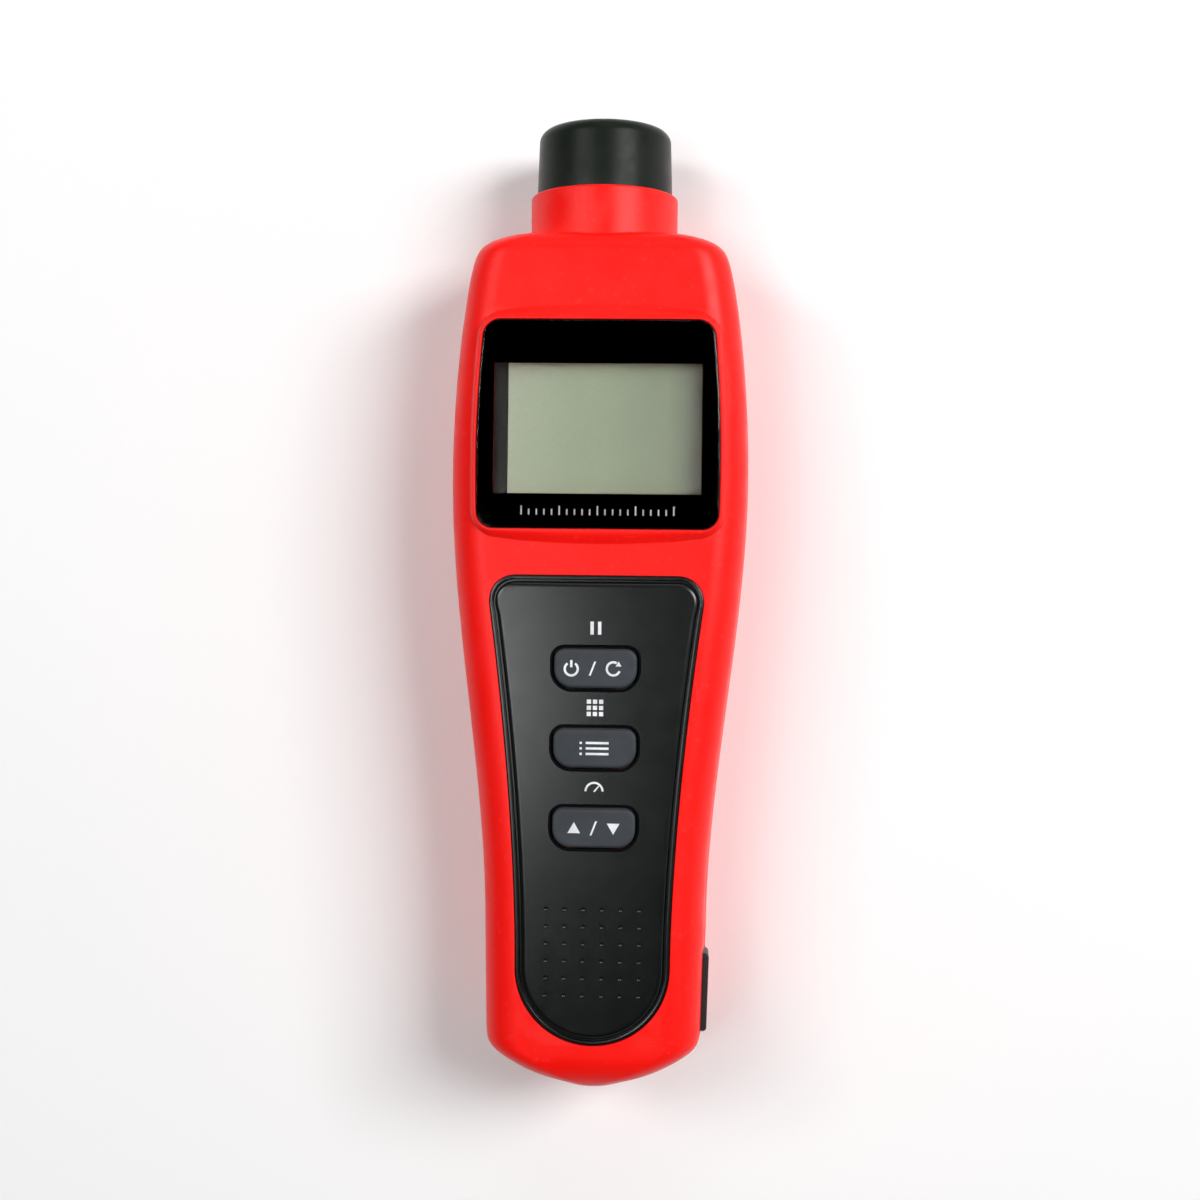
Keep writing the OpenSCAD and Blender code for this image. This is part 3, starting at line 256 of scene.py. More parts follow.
def half_case(name, full, rise, edge, up):
    """The moulded wall of half the case, over or under the parting plane."""
    verts, faces = [], []
    for inset in (0.0, WALL):
        for k in range(STATIONS + 1):
            share = (1 - math.cos(math.pi * k / STATIONS)) / 2
            y = blend(Y_END + inset, Y_SHOULDER - inset, share)
            ring = section(y, inset, full, rise, edge, SEAM_W if inset == 0 else 0.0)
            verts += [(x, y, PARTING_Z + up * z) for x, y, z in ring]
    n = len(verts) // (2 * (STATIONS + 1))
    inner = (STATIONS + 1) * n
    for k in range(STATIONS):
        for j in range(n - 1):
            a = k * n + j
            for base in (0, inner):
                faces.append((base + a, base + a + 1, base + a + n + 1, base + a + n))
        for j in (0, n - 1):
            a = k * n + j
            faces.append((a, a + n, inner + a + n, inner + a))
    for first in (0, STATIONS * n):
        ends = (first, first + n - 1)
        faces.append((ends[0], ends[1], inner + ends[1], inner + ends[0]))
        faces.append(tuple(range(first, first + n)))
        faces.append(tuple(range(inner + first, inner + first + n)))
    return new_mesh(name, verts, faces)


def side_faces(n, rings):
    """The faces between neighbouring rings of n points each."""
    return [
        (k * n + j, k * n + (j + 1) % n, (k + 1) * n + (j + 1) % n, (k + 1) * n + j)
        for k in range(rings - 1)
        for j in range(n)
    ]


def loft(name, rings, body=None):
    """A closed solid through rings of equally many points."""
    n = len(rings[0])
    last = (len(rings) - 1) * n
    ends = [tuple(range(n)), tuple(range(last, last + n))]
    return new_mesh(name, [point for ring in rings for point in ring], side_faces(n, len(rings)) + ends, body)


def stack(name, levels, body=None):
    """A closed solid through level outlines, each with its own height."""
    return loft(name, [[(x, y, z) for x, y in outline] for outline, z in levels], body)


def prism(name, outline, z0, z1):
    return stack(name, [(outline, z0), (outline, z1)])


def block(name, low, high):
    x0, y0, z0 = low
    x1, y1, z1 = high
    return prism(name, [(x0, y0), (x1, y0), (x1, y1), (x0, y1)], z0, z1)


def rod(name, centre, r, h, steps=64):
    """A round cutter or post along Z from its centre of base."""
    x, y, z = centre
    return prism(name, circle(x, y, r, steps), z, z + h)


def nose_rod(name, y, r, h):
    """A round cutter on the nose's axis."""
    ring = circle(0.0, PARTING_Z, r, ROUND_STEPS)
    return loft(name, [[(u, y + t, v) for u, v in ring] for t in (0.0, h)])


def lathe(name, profile, body):
    """A revolve of (radius, y) points round the nose's axis."""
    n = len(profile)
    verts, faces = [], []
    for i in range(ROUND_STEPS):
        a = 2 * math.pi * i / ROUND_STEPS
        verts += [(r * math.cos(a), y, PARTING_Z + r * math.sin(a)) for r, y in profile]
        b = (i + 1) % ROUND_STEPS
        for j in range(n):
            c = (j + 1) % n
            faces.append((i * n + j, b * n + j, b * n + c, i * n + c))
    return new_mesh(name, verts, faces, body)


def boolean(obj, tools, operation="DIFFERENCE"):
    """Applies each tool to the object and removes it."""
    for tool in tools:
        mod = obj.modifiers.new("cut", "BOOLEAN")
        mod.operation = operation
        mod.solver = "EXACT"
        mod.object = tool
        graph = bpy.context.evaluated_depsgraph_get()
        done = bpy.data.meshes.new_from_object(obj.evaluated_get(graph))
        obj.modifiers.clear()
        old = obj.data
        obj.data = done
        bpy.data.meshes.remove(old)
        bpy.data.objects.remove(tool, do_unlink=True)


def finish_shape(obj, bevel=0.0, sharp=32, segments=2):
    """Smooth shading with crisp edges, and a small bevel where one is asked for."""
    bm = bmesh.new()
    bm.from_mesh(obj.data)
    bmesh.ops.remove_doubles(bm, verts=bm.verts, dist=WELD_DIST)
    bmesh.ops.dissolve_degenerate(bm, edges=bm.edges, dist=MERGE_DIST)
    bm.to_mesh(obj.data)
    bm.free()
    obj.data.shade_smooth()
    obj.data.set_sharp_from_angle(angle=math.radians(sharp))
    if bevel:
        margin = 8
        mod = obj.modifiers.new("bevel", "BEVEL")
        mod.width = bevel * MM
        mod.segments = segments
        mod.limit_method = "ANGLE"
        mod.angle_limit = math.radians(sharp + margin)
        mod.use_clamp_overlap = True
        mod.harden_normals = True
    normal = obj.modifiers.new("normals", "WEIGHTED_NORMAL")
    normal.keep_sharp = True


def glass_outline(grow):
    """The window's outline, grown by a distance, with bowed sides and round corners."""
    y0, y1, r = GLASS_LOW - grow, GLASS_TOP + grow, GLASS_CORNER_R + grow

    def half(y):
        end_y, end_w = (GLASS_TOP, GLASS_TOP_W) if y > GLASS_MID else (GLASS_LOW, GLASS_LOW_W)
        return grow + blend(GLASS_W, end_w, ((y - GLASS_MID) / (end_y - GLASS_MID)) ** 2) / 2

    right = []
    for a in quarter(CORNER_STEPS):
        y = y0 + r * (1 - math.cos(a))
        right.append((half(y) - r * (1 - math.sin(a)), y))
    for i in range(1, WINDOW_STEPS):
        y = blend(y0 + r, y1 - r, i / WINDOW_STEPS)
        right.append((half(y), y))
    for a in quarter(CORNER_STEPS):
        y = y1 - r * (1 - math.sin(a))
        right.append((half(y) - r * (1 - math.cos(a)), y))
    lower = [(right[0][0] * i / WINDOW_ACROSS, y0) for i in range(WINDOW_ACROSS)]
    upper = [(right[-1][0] * i / WINDOW_ACROSS, y1) for i in reversed(range(WINDOW_ACROSS))]
    return mirrored(lower + right + upper)


def slope_outline(part):
    """The surround's outline a part of the way down its slope, from 0 at the rim to 1 at its foot."""
    grow = SURROUND_RIM + SLOPE_SIDE * part
    mid_y = (GLASS_LOW + GLASS_TOP) / 2
    half_h = GLASS_H / 2 + grow
    points = []
    for x, y in glass_outline(grow):
        edge = within((abs(y - mid_y) / half_h - 1) * BULGE_SHARP + 1)
        bulge = part * SLOPE_BOW * edge * (1 - (x / (GLASS_W / 2 + grow)) ** 2)
        points.append((x, y + math.copysign(bulge, y - mid_y)))
    return points


def surround():
    """The raised rim round the window, with a slope that is rounded at the rim and hollow at its foot."""
    foot_z = FRONT_Z - SURROUND_H / 3
    levels = [(slope_outline(1.0), INNER_Z + WALL / 4)]
    for i in range(SLOPE_STEPS + 1):
        part = 1 - i / SLOPE_STEPS
        levels.append((slope_outline(part), blend(foot_z, TOP_Z, ease(1 - part) ** SLOPE_POWER)))
    return stack("surround", levels)


def panel_right(grow):
    """The right half of the panel's outline, from the low end to the middle of its upper edge."""
    end_y = PANEL_LOW + PANEL_END_R
    straight = PANEL_TOP - PANEL_CORNER_R - end_y
    end_r, r = PANEL_END_R + grow, PANEL_CORNER_R + grow

    def side(y):
        return grow + blend(PANEL_END_R, PANEL_HALF, within((y - end_y) / (PANEL_TOP - end_y)) ** PANEL_POWER)

    right = [(end_r * math.sin(a), end_y - end_r * math.cos(a)) for a in quarter(3 * CORNER_STEPS)]
    for i in range(1, PANEL_STEPS):
        y = end_y + straight * i / PANEL_STEPS
        right.append((side(y), y))
    for a in quarter(CORNER_STEPS):
        y = PANEL_TOP + grow - r * (1 - math.sin(a))
        right.append((side(y - grow) - r * (1 - math.cos(a)), y))
    x, y = right[-1]
    right += [(x * (1 - 2 * c / PANEL_ACROSS), y) for c in range(1, PANEL_ACROSS // 2 + 1)]
    return right


def panel_outline(grow):
    return mirrored(panel_right(grow))


def panel_z(x):
    """Height of the panel's field, which has a slight crown across its width."""
    return PANEL_Z - PANEL_CROWN * within(abs(x) / PANEL_HALF) ** 2


def key_outline(grow):
    w, h = KEY_W / 2 + grow, KEY_H / 2 + grow
    rl, rt = KEY_LOW_R + grow, KEY_TOP_R + grow
    right = [(w - rl + rl * math.sin(a), -h + rl - rl * math.cos(a)) for a in quarter(CORNER_STEPS)]
    right += [(w - rt + rt * math.cos(a), h - rt + rt * math.sin(a)) for a in quarter(CORNER_STEPS)]
    return mirrored(right)


def key_y(index):
    return KEY_Y - index * KEY_PITCH


def key_cutters(z0, z1):
    return [prism("key_cut", moved(key_outline(MOVE_GAP), 0, key_y(i)), z0, z1) for i in range(len(KEYS))]


def half_collar(up):
    """Half of the collar as a solid, over or under the parting plane, with a soft outer rim."""
    r0, r1, soft = COLLAR_BORE_R, COLLAR_R, COLLAR_RIM_R
    y0, y1 = Y_SHOULDER - COLLAR_ROOT, Y_COLLAR
    profile = [(r0, y0), (r1, y0), (r1, y1 - soft)]
    profile += [(r1 - soft * (1 - math.cos(a)), y1 - soft * (1 - math.sin(a))) for a in quarter(6)]
    profile += [(r0, y1)]
    steps = ROUND_STEPS // 2
    turns = [math.pi * i / steps for i in range(steps + 1)]
    rings = [[(r * math.cos(a), y, PARTING_Z + up * r * math.sin(a)) for r, y in profile] for a in turns]
    return loft("collar", rings)


def collar_cutters():
    y0 = Y_SHOULDER - COLLAR_ROOT - WALL
    lock_r = SPIGOT_R + LOCK_W + SEAT_GAP
    return [
        nose_rod("bore", y0, COLLAR_BORE_R, Y_COLLAR + OVER - y0),
        nose_rod("lock", Y_SHOULDER + LOCK_W, lock_r, LOCK_W + 2 * SEAT_GAP),
    ]


def case_posts():
    return [(s * (side_half(y) - CASE_POST_EDGE), y) for y in CASE_POST_ROWS for s in (-1, 1)]


def board_posts():
    return [(s * x, y) for x, y in BOARD_POSTS for s in (-1, 1)]


def socket_place():
    """The socket's Y and Z, and the X of the recess for its cover."""
    cover_x = side_half(COVER_Y + COVER_LEN / 2) + COVER_PROUD
    return COVER_Y + COVER_LEN / 2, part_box("usb_socket")[0][2] / MM + SOCKET_H / 2, cover_x


def cover_lean():
    return (side_half(COVER_Y + COVER_LEN) - side_half(COVER_Y)) / 2


def front_shell():
    """The front half, with the surround, the posts and the seats of window, panel, keys and socket."""
    y, z, cover_x = socket_place()
    recess_x = cover_x - cover_lean() - COVER_T - MOVE_GAP
    h = COVER_H / 2 + MOVE_GAP
    shell = half_case("front_shell_skin", FRONT_Z - PARTING_Z, 0.0, EDGE_R, 1)
    root_z = INNER_Z + WALL / 2
    adds = [surround(), half_collar(1)]
    adds += [rod("post", (x, y, PARTING_Z), CASE_POST_R, root_z - PARTING_Z) for x, y in case_posts()]
    adds += [rod("post", (x, y, BOARD_Z), BOARD_POST_R, root_z - BOARD_Z, 32) for x, y in board_posts()]
    boolean(shell, adds, "UNION")
    view = block(
        "view",
        (-VIEW_W / 2 - SEAT_GAP, VIEW_Y - SEAT_GAP, INNER_Z - OVER),
        (VIEW_W / 2 + SEAT_GAP, VIEW_Y + VIEW_H + SEAT_GAP, SEAT_Z + OVER),
    )
    tools = collar_cutters() + [
        prism("seat", glass_outline(SEAT_GAP), SEAT_Z, TOP_Z + OVER),
        view,
        prism("pocket", panel_outline(SEAT_GAP), POCKET_Z, FRONT_Z + OVER),
        block(
            "recess",
            (recess_x, COVER_Y - MOVE_GAP, z - h),
            (cover_x + OVER, COVER_Y + COVER_LEN + MOVE_GAP, z + h),
        ),
        block(
            "way",
            (recess_x - 2 * WALL, y - SOCKET_W / 2 - SEAT_GAP, z - SOCKET_H / 2 - SEAT_GAP),
            (recess_x + OVER, y + SOCKET_W / 2 + SEAT_GAP, z + SOCKET_H / 2 + SEAT_GAP),
        ),
    ]
    bore = HEAD_RECESS_Z + CASE_SCREW_LEN - PARTING_Z
    tools += [rod("bore", (x, y, PARTING_Z - OVER), CASE_BORE_R, bore + OVER, 32) for x, y in case_posts()]
    depth = BOARD_BORE_LEN + OVER
    tools += [rod("bore", (x, y, BOARD_Z - OVER), BOARD_BORE_R, depth, 24) for x, y in board_posts()]
    boolean(shell, tools + key_cutters(INNER_Z - OVER, POCKET_Z + OVER))
    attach(shell, "case")
    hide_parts("front_shell")
    finish_shape(shell, SHELL_BEVEL)
    return shell


def rear_shell():
    """The back half, with the battery bay, the door's ways and the screws' posts."""
    shell = half_case("rear_shell_skin", PARTING_Z, BACK_RISE, BACK_EDGE_R, -1)
    w = BAY_HALF + BAY_WALL
    outer = DOOR_HALF + TONGUE_W + LEDGE_W
    adds = [
        half_collar(-1),
        block("bay", (-w, Y_BAY - BAY_WALL, LEDGE_Z), (w, Y_BAY_TOP + BAY_WALL, BAY_ROOF_Z + BAY_WALL)),
        block("ledge", (-outer, Y_BAY - BAY_WALL, LEDGE_Z), (outer, Y_DOOR + LEDGE_W, LEDGE_Z + LEDGE_T)),
    ]
    for x, y in case_posts():
        foot = PARTING_Z - case_depth(y, 0.0, PARTING_Z, BACK_RISE) + WALL * POST_ROOT_SHARE
        adds.append(rod("post", (x, y, foot), HEAD_RECESS_R + HEAD_WALL, PARTING_Z - foot))
    boolean(shell, adds, "UNION")
    gap = MOVE_GAP
    half = DOOR_HALF + gap
    cuts = collar_cutters() + [
        block("way", (-half, Y_END - OVER, -OVER), (half, Y_DOOR + gap, LEDGE_Z)),
        block("end", (-half, Y_END - OVER, -OVER), (half, Y_BAY - BAY_WALL - gap, DOOR_END_H + gap)),
        block(
            "rail",
            (-half - TONGUE_W, Y_END - OVER, TONGUE_Z - gap),
            (half + TONGUE_W, Y_DOOR + gap, TONGUE_Z + TONGUE_T + gap),
        ),
        block("cells", (-BAY_HALF, Y_BAY, -OVER), (BAY_HALF, Y_BAY_TOP, BAY_ROOF_Z)),
    ]
    for x, y in case_posts():
        cuts.append(rod("head", (x, y, -OVER), HEAD_RECESS_R, HEAD_RECESS_Z + OVER))
        cuts.append(rod("shank", (x, y, 0.0), CASE_HOLE_R, PARTING_Z + OVER, 32))
    for s in (-1, 1):
        x = s * CELL_PITCH / 2
        w = TAIL_W / 2 + SEAT_GAP
        low = (x - w, Y_BAY_TOP - CONTACT_T - 2 * SEAT_GAP, BAY_ROOF_Z - OVER)
        cuts.append(block("tail", low, (x + w, Y_BAY_TOP, BAY_ROOF_Z + BAY_WALL + OVER)))
    boolean(shell, cuts)
    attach(shell, "case")
    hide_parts("rear_shell")
    finish_shape(shell, SHELL_BEVEL)
    return shell


def battery_door():
    """The door, cut from the rear shell's form, with tongues along its sides and ribs for the thumb."""
    door = half_case("battery_door_skin", PARTING_Z, BACK_RISE, BACK_EDGE_R, -1)
    keep = block("keep", (-DOOR_HALF, Y_END - OVER, -OVER), (DOOR_HALF, Y_DOOR, DOOR_END_H))
    boolean(door, [keep], "INTERSECT")
    room = block(
        "room",
        (-DOOR_HALF - OVER, Y_BAY - BAY_WALL - 2 * MOVE_GAP, LEDGE_Z - MOVE_GAP),
        (DOOR_HALF + OVER, Y_DOOR + OVER, DOOR_END_H + OVER),
    )
    boolean(door, [room])
    tongues = []
    for s in (-1, 1):
        x0, x1 = sorted((s * (DOOR_HALF - TONGUE_W), s * (DOOR_HALF + TONGUE_W - SEAT_GAP)))
        tongues.append(block("tongue", (x0, Y_BAY, TONGUE_Z), (x1, Y_DOOR - TONGUE_W, TONGUE_Z + TONGUE_T)))
    boolean(door, tongues, "UNION")
    ribs = []
    for i in range(RIB_COUNT):
        rib = rod("rib", (0, 0, -RIB_LEN / 2), RIB_R, RIB_LEN, 24)
        rib.data.transform(Matrix.Rotation(math.pi / 2, 4, "Y"))
        rib.data.transform(Matrix.Translation((0, (Y_BAY + WALL + i * RIB_PITCH) * MM, 0)))
        ribs.append(rib)
    boolean(door, ribs)
    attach(door, "door")
    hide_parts("battery_door")
    finish_shape(door, SHELL_BEVEL)
    return door


def panel_skin():
    """A lip, a groove and a crowned field, built as rings inwards and a ladder across the field."""
    lip_z, foot_z = PANEL_Z - LIP_DROP, PANEL_Z - FIELD_DROP
    groove_z = lip_z - GROOVE_D
    inner = LIP_W + GROOVE_W
    # Inset and height of each step over the lip and down into the groove
    levels = [(0.0, POCKET_Z), (0.0, lip_z - 0.12), (0.04, lip_z - 0.04), (0.14, lip_z)]
    levels += [(LIP_W - 0.14, lip_z), (LIP_W - 0.04, lip_z - 0.04), (LIP_W, lip_z - 0.14)]
    levels += [(LIP_W + 0.06, groove_z), (LIP_W + 0.34, groove_z), (inner - 0.36, foot_z)]
    field = inner - FIELD_LAP
    # Each ring has its inset, its lowest height and its share of the way up to the field
    rings = [(inset, z, 0.0) for inset, z in levels]
    rings += [(field + FIELD_EDGE_R * (1 - math.cos(a)), foot_z, math.sin(a)) for a in quarter(10)[1:]]
    verts = []
    for inset, low, share in rings:
        verts += [(x, y, blend(low, panel_z(x), share)) for x, y in panel_outline(-inset)]
    outline = panel_outline(-rings[-1][0])
    n = len(outline)
    faces = side_faces(n, len(rings)) + [tuple(range(n))]
    last = (len(rings) - 1) * n
    corner = n // 2 - PANEL_ACROSS // 2
    rows = []
    for i in range(1, corner):
        x, y = outline[i]
        row = [last + i]
        for c in range(1, PANEL_ACROSS):
            u = x * (1 - 2 * c / PANEL_ACROSS)
            row.append(len(verts))
            verts.append((u, y, panel_z(u)))
        rows.append(row + [last + n - i])
    rows.append([last + corner + c for c in range(PANEL_ACROSS + 1)])
    for low, high in zip(rows, rows[1:]):
        faces += [(low[c], low[c + 1], high[c + 1], high[c]) for c in range(PANEL_ACROSS)]
    faces.append((last,) + tuple(reversed(rows[0])))
    return new_mesh("keypad_panel_skin", verts, faces)


def keypad_panel():
    panel = panel_skin()
    boolean(panel, dimples() + key_wells())
    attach(panel, "case")
    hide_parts("keypad_panel")
    finish_shape(panel, 0.0, 40)
    return panel


def key_wells():
    """Cutters for the keys' openings in the panel, each with a soft step round it."""
    # Share of the step's width, and height over the field in parts of the step's depth
    flare = ((0.0, -1.6), (0.55, -1.0), (0.9, -0.45), (1.1, 0.0), (1.2, 1.0))
    steps = [(0.0, POCKET_Z - OVER)] + [(part, PANEL_Z + rise * WELL_D) for part, rise in flare]
    return [
        stack("well", [(moved(key_outline(MOVE_GAP + WELL_W * part), 0, key_y(i)), z) for part, z in steps])
        for i in range(len(KEYS))
    ]


def dimples():
    """Cutters for a grid of shallow round dimples near the panel's lower end."""
    # Share of the dimple's radius, and height over the field in parts of its depth
    bowl = ((0.35, -1.0), (0.7, -0.8), (0.92, -0.35), (1.0, 0.0), (1.15, 1.6))
    cutters = []
    for row in range(DIMPLE_COUNT):
        for column in range(DIMPLE_COUNT):
            x = (column - (DIMPLE_COUNT - 1) / 2) * DIMPLE_PITCH
            y = DIMPLE_Y - row * DIMPLE_ROW
            z = panel_z(x)
            levels = [(circle(x, y, DIMPLE_R * share, 20), z + part * DIMPLE_DEPTH) for share, part in bowl]
            cutters.append(stack("dimple", levels))
    return cutters


def key_cap(index):
    """A key: bevelled face with a slight dish, sides, flange and plunger."""
    node, body = KEYS[index]
    z0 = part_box(node)[0][2] / MM
    low, high = INNER_Z - MOVE_GAP - FLANGE_T, INNER_Z - MOVE_GAP
    y = key_y(index)
    levels = [(FLANGE_W, low), (FLANGE_W, high), (0.0, high), (0.0, KEY_Z - KEY_SKIRT)]
    for a in quarter(6)[1:]:
        levels.append((-KEY_BEVEL * (1 - math.cos(a)), KEY_Z - KEY_BEVEL + KEY_BEVEL * math.sin(a)))
    levels += [(-2 * KEY_BEVEL, KEY_Z), (-KEY_RIM, KEY_Z - KEY_DISH)]
    cap = stack("%s_cap" % node, [(moved(key_outline(grow), 0, y), z) for grow, z in levels])
    boolean(cap, [rod("plunger", (0, y, z0), PLUNGER_R, low - z0 + OVER / 2)], "UNION")
    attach(cap, body)
    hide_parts(node)
    finish_shape(cap, 0.0, 40)
    return cap


def window_pane():
    """The clear window with a rounded upper edge."""
    z0, z1, soft = SEAT_Z + MASK_T, TOP_Z, GLASS_EDGE_R
    levels = [(0.0, z0), (0.0, z1 - soft)]
    levels += [(-soft * (1 - math.cos(a)), z1 - soft * (1 - math.sin(a))) for a in quarter(5)[1:]]
    pane = stack("display_window_pane", [(glass_outline(grow), z) for grow, z in levels], "case")
    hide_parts("display_window")
    finish_shape(pane, 0.0, 40)
    return pane


def window_mask():
    """The black print behind the window, which laps a little over the display's view."""
    mask = prism("display_mask_print", glass_outline(-MASK_GAP), SEAT_Z, SEAT_Z + MASK_T)
    opening = block(
        "opening",
        (-VIEW_W / 2, VIEW_Y + PRINT_OVER, SEAT_Z - OVER),
        (VIEW_W / 2 - PRINT_OVER, VIEW_Y + VIEW_H - PRINT_OVER, SEAT_Z + OVER),
    )
    boolean(mask, [opening])
    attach(mask, "case")
    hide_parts("display_mask")
    finish_shape(mask, 0.0, 40)
    return mask


def nose_hood():
    """The black hood: a turned form with a soft heel, a rounded tip and a soft rim round its mouth."""
    lock_y = Y_SHOULDER + LOCK_W + SEAT_GAP
    flat_y = Y_TIP - HOOD_ROUND
    heel_y = Y_COLLAR + 0.3
    profile = [(HOLDER_BORE_R, Y_SHOULDER - WALL), (SPIGOT_R, Y_SHOULDER - WALL)]
    profile += [(SPIGOT_R, lock_y), (SPIGOT_R + LOCK_W, lock_y)]
    profile += [(SPIGOT_R + LOCK_W, lock_y + LOCK_W), (SPIGOT_R, lock_y + LOCK_W), (SPIGOT_R, Y_COLLAR)]
    profile += [(HOOD_R - 0.25, Y_COLLAR), (HOOD_R - 0.07, Y_COLLAR + 0.08), (HOOD_R, heel_y)]
    for share in (0.2, 0.4, 0.6, 0.8):
        profile.append((blend(HOOD_R, HOOD_TIP_R, share), blend(heel_y, flat_y, share)))
    for a in quarter(14):
        profile.append((HOOD_TIP_R - HOOD_ROUND * (1 - math.cos(a)), flat_y + HOOD_ROUND * math.sin(a)))
    for a in quarter(5):
        profile.append((MOUTH_R + MOUTH_RIM_R * (1 - math.sin(a)), Y_TIP - MOUTH_RIM_R * (1 - math.cos(a))))
    window_y = Y_TIP - WINDOW_RECESS - WINDOW_T
    profile += [(MOUTH_R, window_y), (HOLDER_BORE_R, window_y)]
    hood = lathe("nose_hood_turned", profile, "case")
    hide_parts("nose_hood")
    finish_shape(hood, 0.0, 35)
    return hood


def socket_cover():
    """The rubber flap over the socket, rounded all over, with its outer face along the case's side."""
    y_mid, z_mid, cover_x = socket_place()
    y1 = COVER_Y + COVER_LEN
    lean = cover_lean()
    r = COVER_T / 2
    bead_x, bead_y = cover_x - lean - r, COVER_Y + r
    turns = [math.pi * (1 + i / 24) for i in range(25)]
    outline = [(bead_x + r * math.cos(t), bead_y + r * math.sin(t)) for t in turns]
    outline += [(cover_x + lean - r * (1 - math.cos(a)), y1 - r * (1 - math.sin(a))) for a in quarter(8)]
    outline += [(cover_x + lean - COVER_T, y1)]
    flap = prism("usb_cover_flap", outline, z_mid - COVER_H / 2, z_mid + COVER_H / 2)
    corners = []
    for sy, sz, start in ((1, -1, 0), (1, 1, 90), (-1, 1, 180), (-1, -1, 270)):
        y = y_mid + sy * (COVER_LEN / 2 - r)
        z = z_mid + sz * (COVER_H / 2 - r)
        turns = [a + math.radians(start - 90) for a in quarter(6)]
        corners += [(y + r * math.cos(t), z + r * math.sin(t)) for t in turns]
    ends = (cover_x - 2 * COVER_T, cover_x + 2 * COVER_T)
    boolean(flap, [loft("round", [[(x, y, z) for y, z in corners] for x in ends])], "INTERSECT")
    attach(flap, "socket_cover")
    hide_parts("usb_cover")
    finish_shape(flap, COVER_BEVEL, 30, 3)
    return flap


def srgb(r, g, b):
    """A colour as it looks on a screen, from 0 to 255, as linear values."""
    shares = [c / 255 for c in (r, g, b)]
    return tuple(c / 12.92 if c <= 0.04045 else ((c + 0.055) / 1.055) ** 2.4 for c in shares) + (1.0,)


def map_range(tree, source, start, end, low, high):
    """A node that maps a value's range to another one."""
    node = tree.nodes.new("ShaderNodeMapRange")
    for key, value in (("From Min", start), ("From Max", end), ("To Min", low), ("To Max", high)):
        node.inputs[key].default_value = value
    tree.links.new(source, node.inputs["Value"])
    return node.outputs["Result"]


class Finish:
    """A material's nodes round one shader, with short calls for what most of them need."""

    def __init__(self, name, **settings):
        self.material = bpy.data.materials.new(name)
        self.material.use_nodes = True
        self.nodes = self.material.node_tree.nodes
        self.links = self.material.node_tree.links
        self.shader = self.nodes["Principled BSDF"]
        self.place = self.nodes.new("ShaderNodeTexCoord")
        self.set(**settings)

    def set(self, **settings):
        for key, value in settings.items():
            self.shader.inputs[key.replace("_", " ").title().replace("Ior", "IOR")].default_value = value

    def feed(self, slot, value):
        """Sets a socket to a value, or links a node's output to it."""
        if isinstance(value, (tuple, float, int)):
            slot.default_value = value
        else:
            self.links.new(value, slot)

    def tone(self):
        """The output that colours the shader so far."""
        return self.shader.inputs["Base Color"].links[0].from_socket

    def noise(self, scale, detail=2.0):
        node = self.nodes.new("ShaderNodeTexNoise")
        node.inputs["Scale"].default_value = scale
        node.inputs["Detail"].default_value = detail
        self.links.new(self.place.outputs["Object"], node.inputs["Vector"])
        return node.outputs["Fac"]

    def axis(self, name, source="Object"):
        node = self.nodes.new("ShaderNodeSeparateXYZ")
        self.links.new(self.place.outputs[source], node.inputs[0])
        return node.outputs[name]

    def spread(self, source, low, high, start=0.35, end=0.65):
        """Maps the middle of a noise, or the range that is given, to another range."""
        return map_range(self.material.node_tree, source, start, end, low, high)

    def maths(self, operation, a, b):
        node = self.nodes.new("ShaderNodeMath")
        node.operation = operation
        for slot, value in zip(node.inputs, (a, b)):
            self.feed(slot, value)
        return node.outputs[0]

    def ramp(self, source, stops, smooth=True):
        node = self.nodes.new("ShaderNodeValToRGB")
        node.color_ramp.interpolation = "EASE" if smooth else "CONSTANT"
        marks = node.color_ramp.elements
        while len(marks) < len(stops):
            marks.new(0.5)
        for mark, (position, colour) in zip(marks, stops):
            mark.position = position
            mark.color = colour
        self.links.new(source, node.inputs["Fac"])
        return node.outputs["Color"]

    def mix(self, share, a, b):
        node = self.nodes.new("ShaderNodeMix")
        node.data_type = "RGBA"
        factor, first, second = 0, 6, 7
        for index, value in ((factor, share), (first, a), (second, b)):
            self.feed(node.inputs[index], value)
        return node.outputs[2]

    def colour(self, source):
        self.links.new(source, self.shader.inputs["Base Color"])

    def rough(self, source):
        self.links.new(source, self.shader.inputs["Roughness"])

    def metal(self, source):
        self.links.new(source, self.shader.inputs["Metallic"])

    def relief(self, source, depth):
        node = self.nodes.new("ShaderNodeBump")
        node.inputs["Distance"].default_value = depth * MM
        node.inputs["Strength"].default_value = 1.0
        self.links.new(source, node.inputs["Height"])
        self.links.new(node.outputs["Normal"], self.shader.inputs["Normal"])

    def wear(self, base, worn, amount):
        """Lightens the raised edges, broken up by a noise."""
        edge = self.nodes.new("ShaderNodeNewGeometry").outputs["Pointiness"]
        edge = self.spread(edge, 0.0, amount, 0.52, 0.60)
        patch = self.spread(self.noise(180, 4), 0.0, 1.0, 0.42, 0.62)
        return self.mix(self.maths("MULTIPLY", edge, patch), base, worn)


def moulded(name, dark, light, rough, patch, grain, depth, **settings):
    """Plastic or rubber whose tone and gloss vary in patches, with a grain of a depth in millimetres."""
    f = Finish(name, **settings)
    broad = f.noise(patch, 4)
    fine = f.noise(grain, 3)
    f.colour(f.ramp(broad, [(0.35, dark), (0.65, light)]))
    f.rough(f.spread(f.noise(patch * 6, 5), *rough))
    f.relief(fine, depth)
    return f


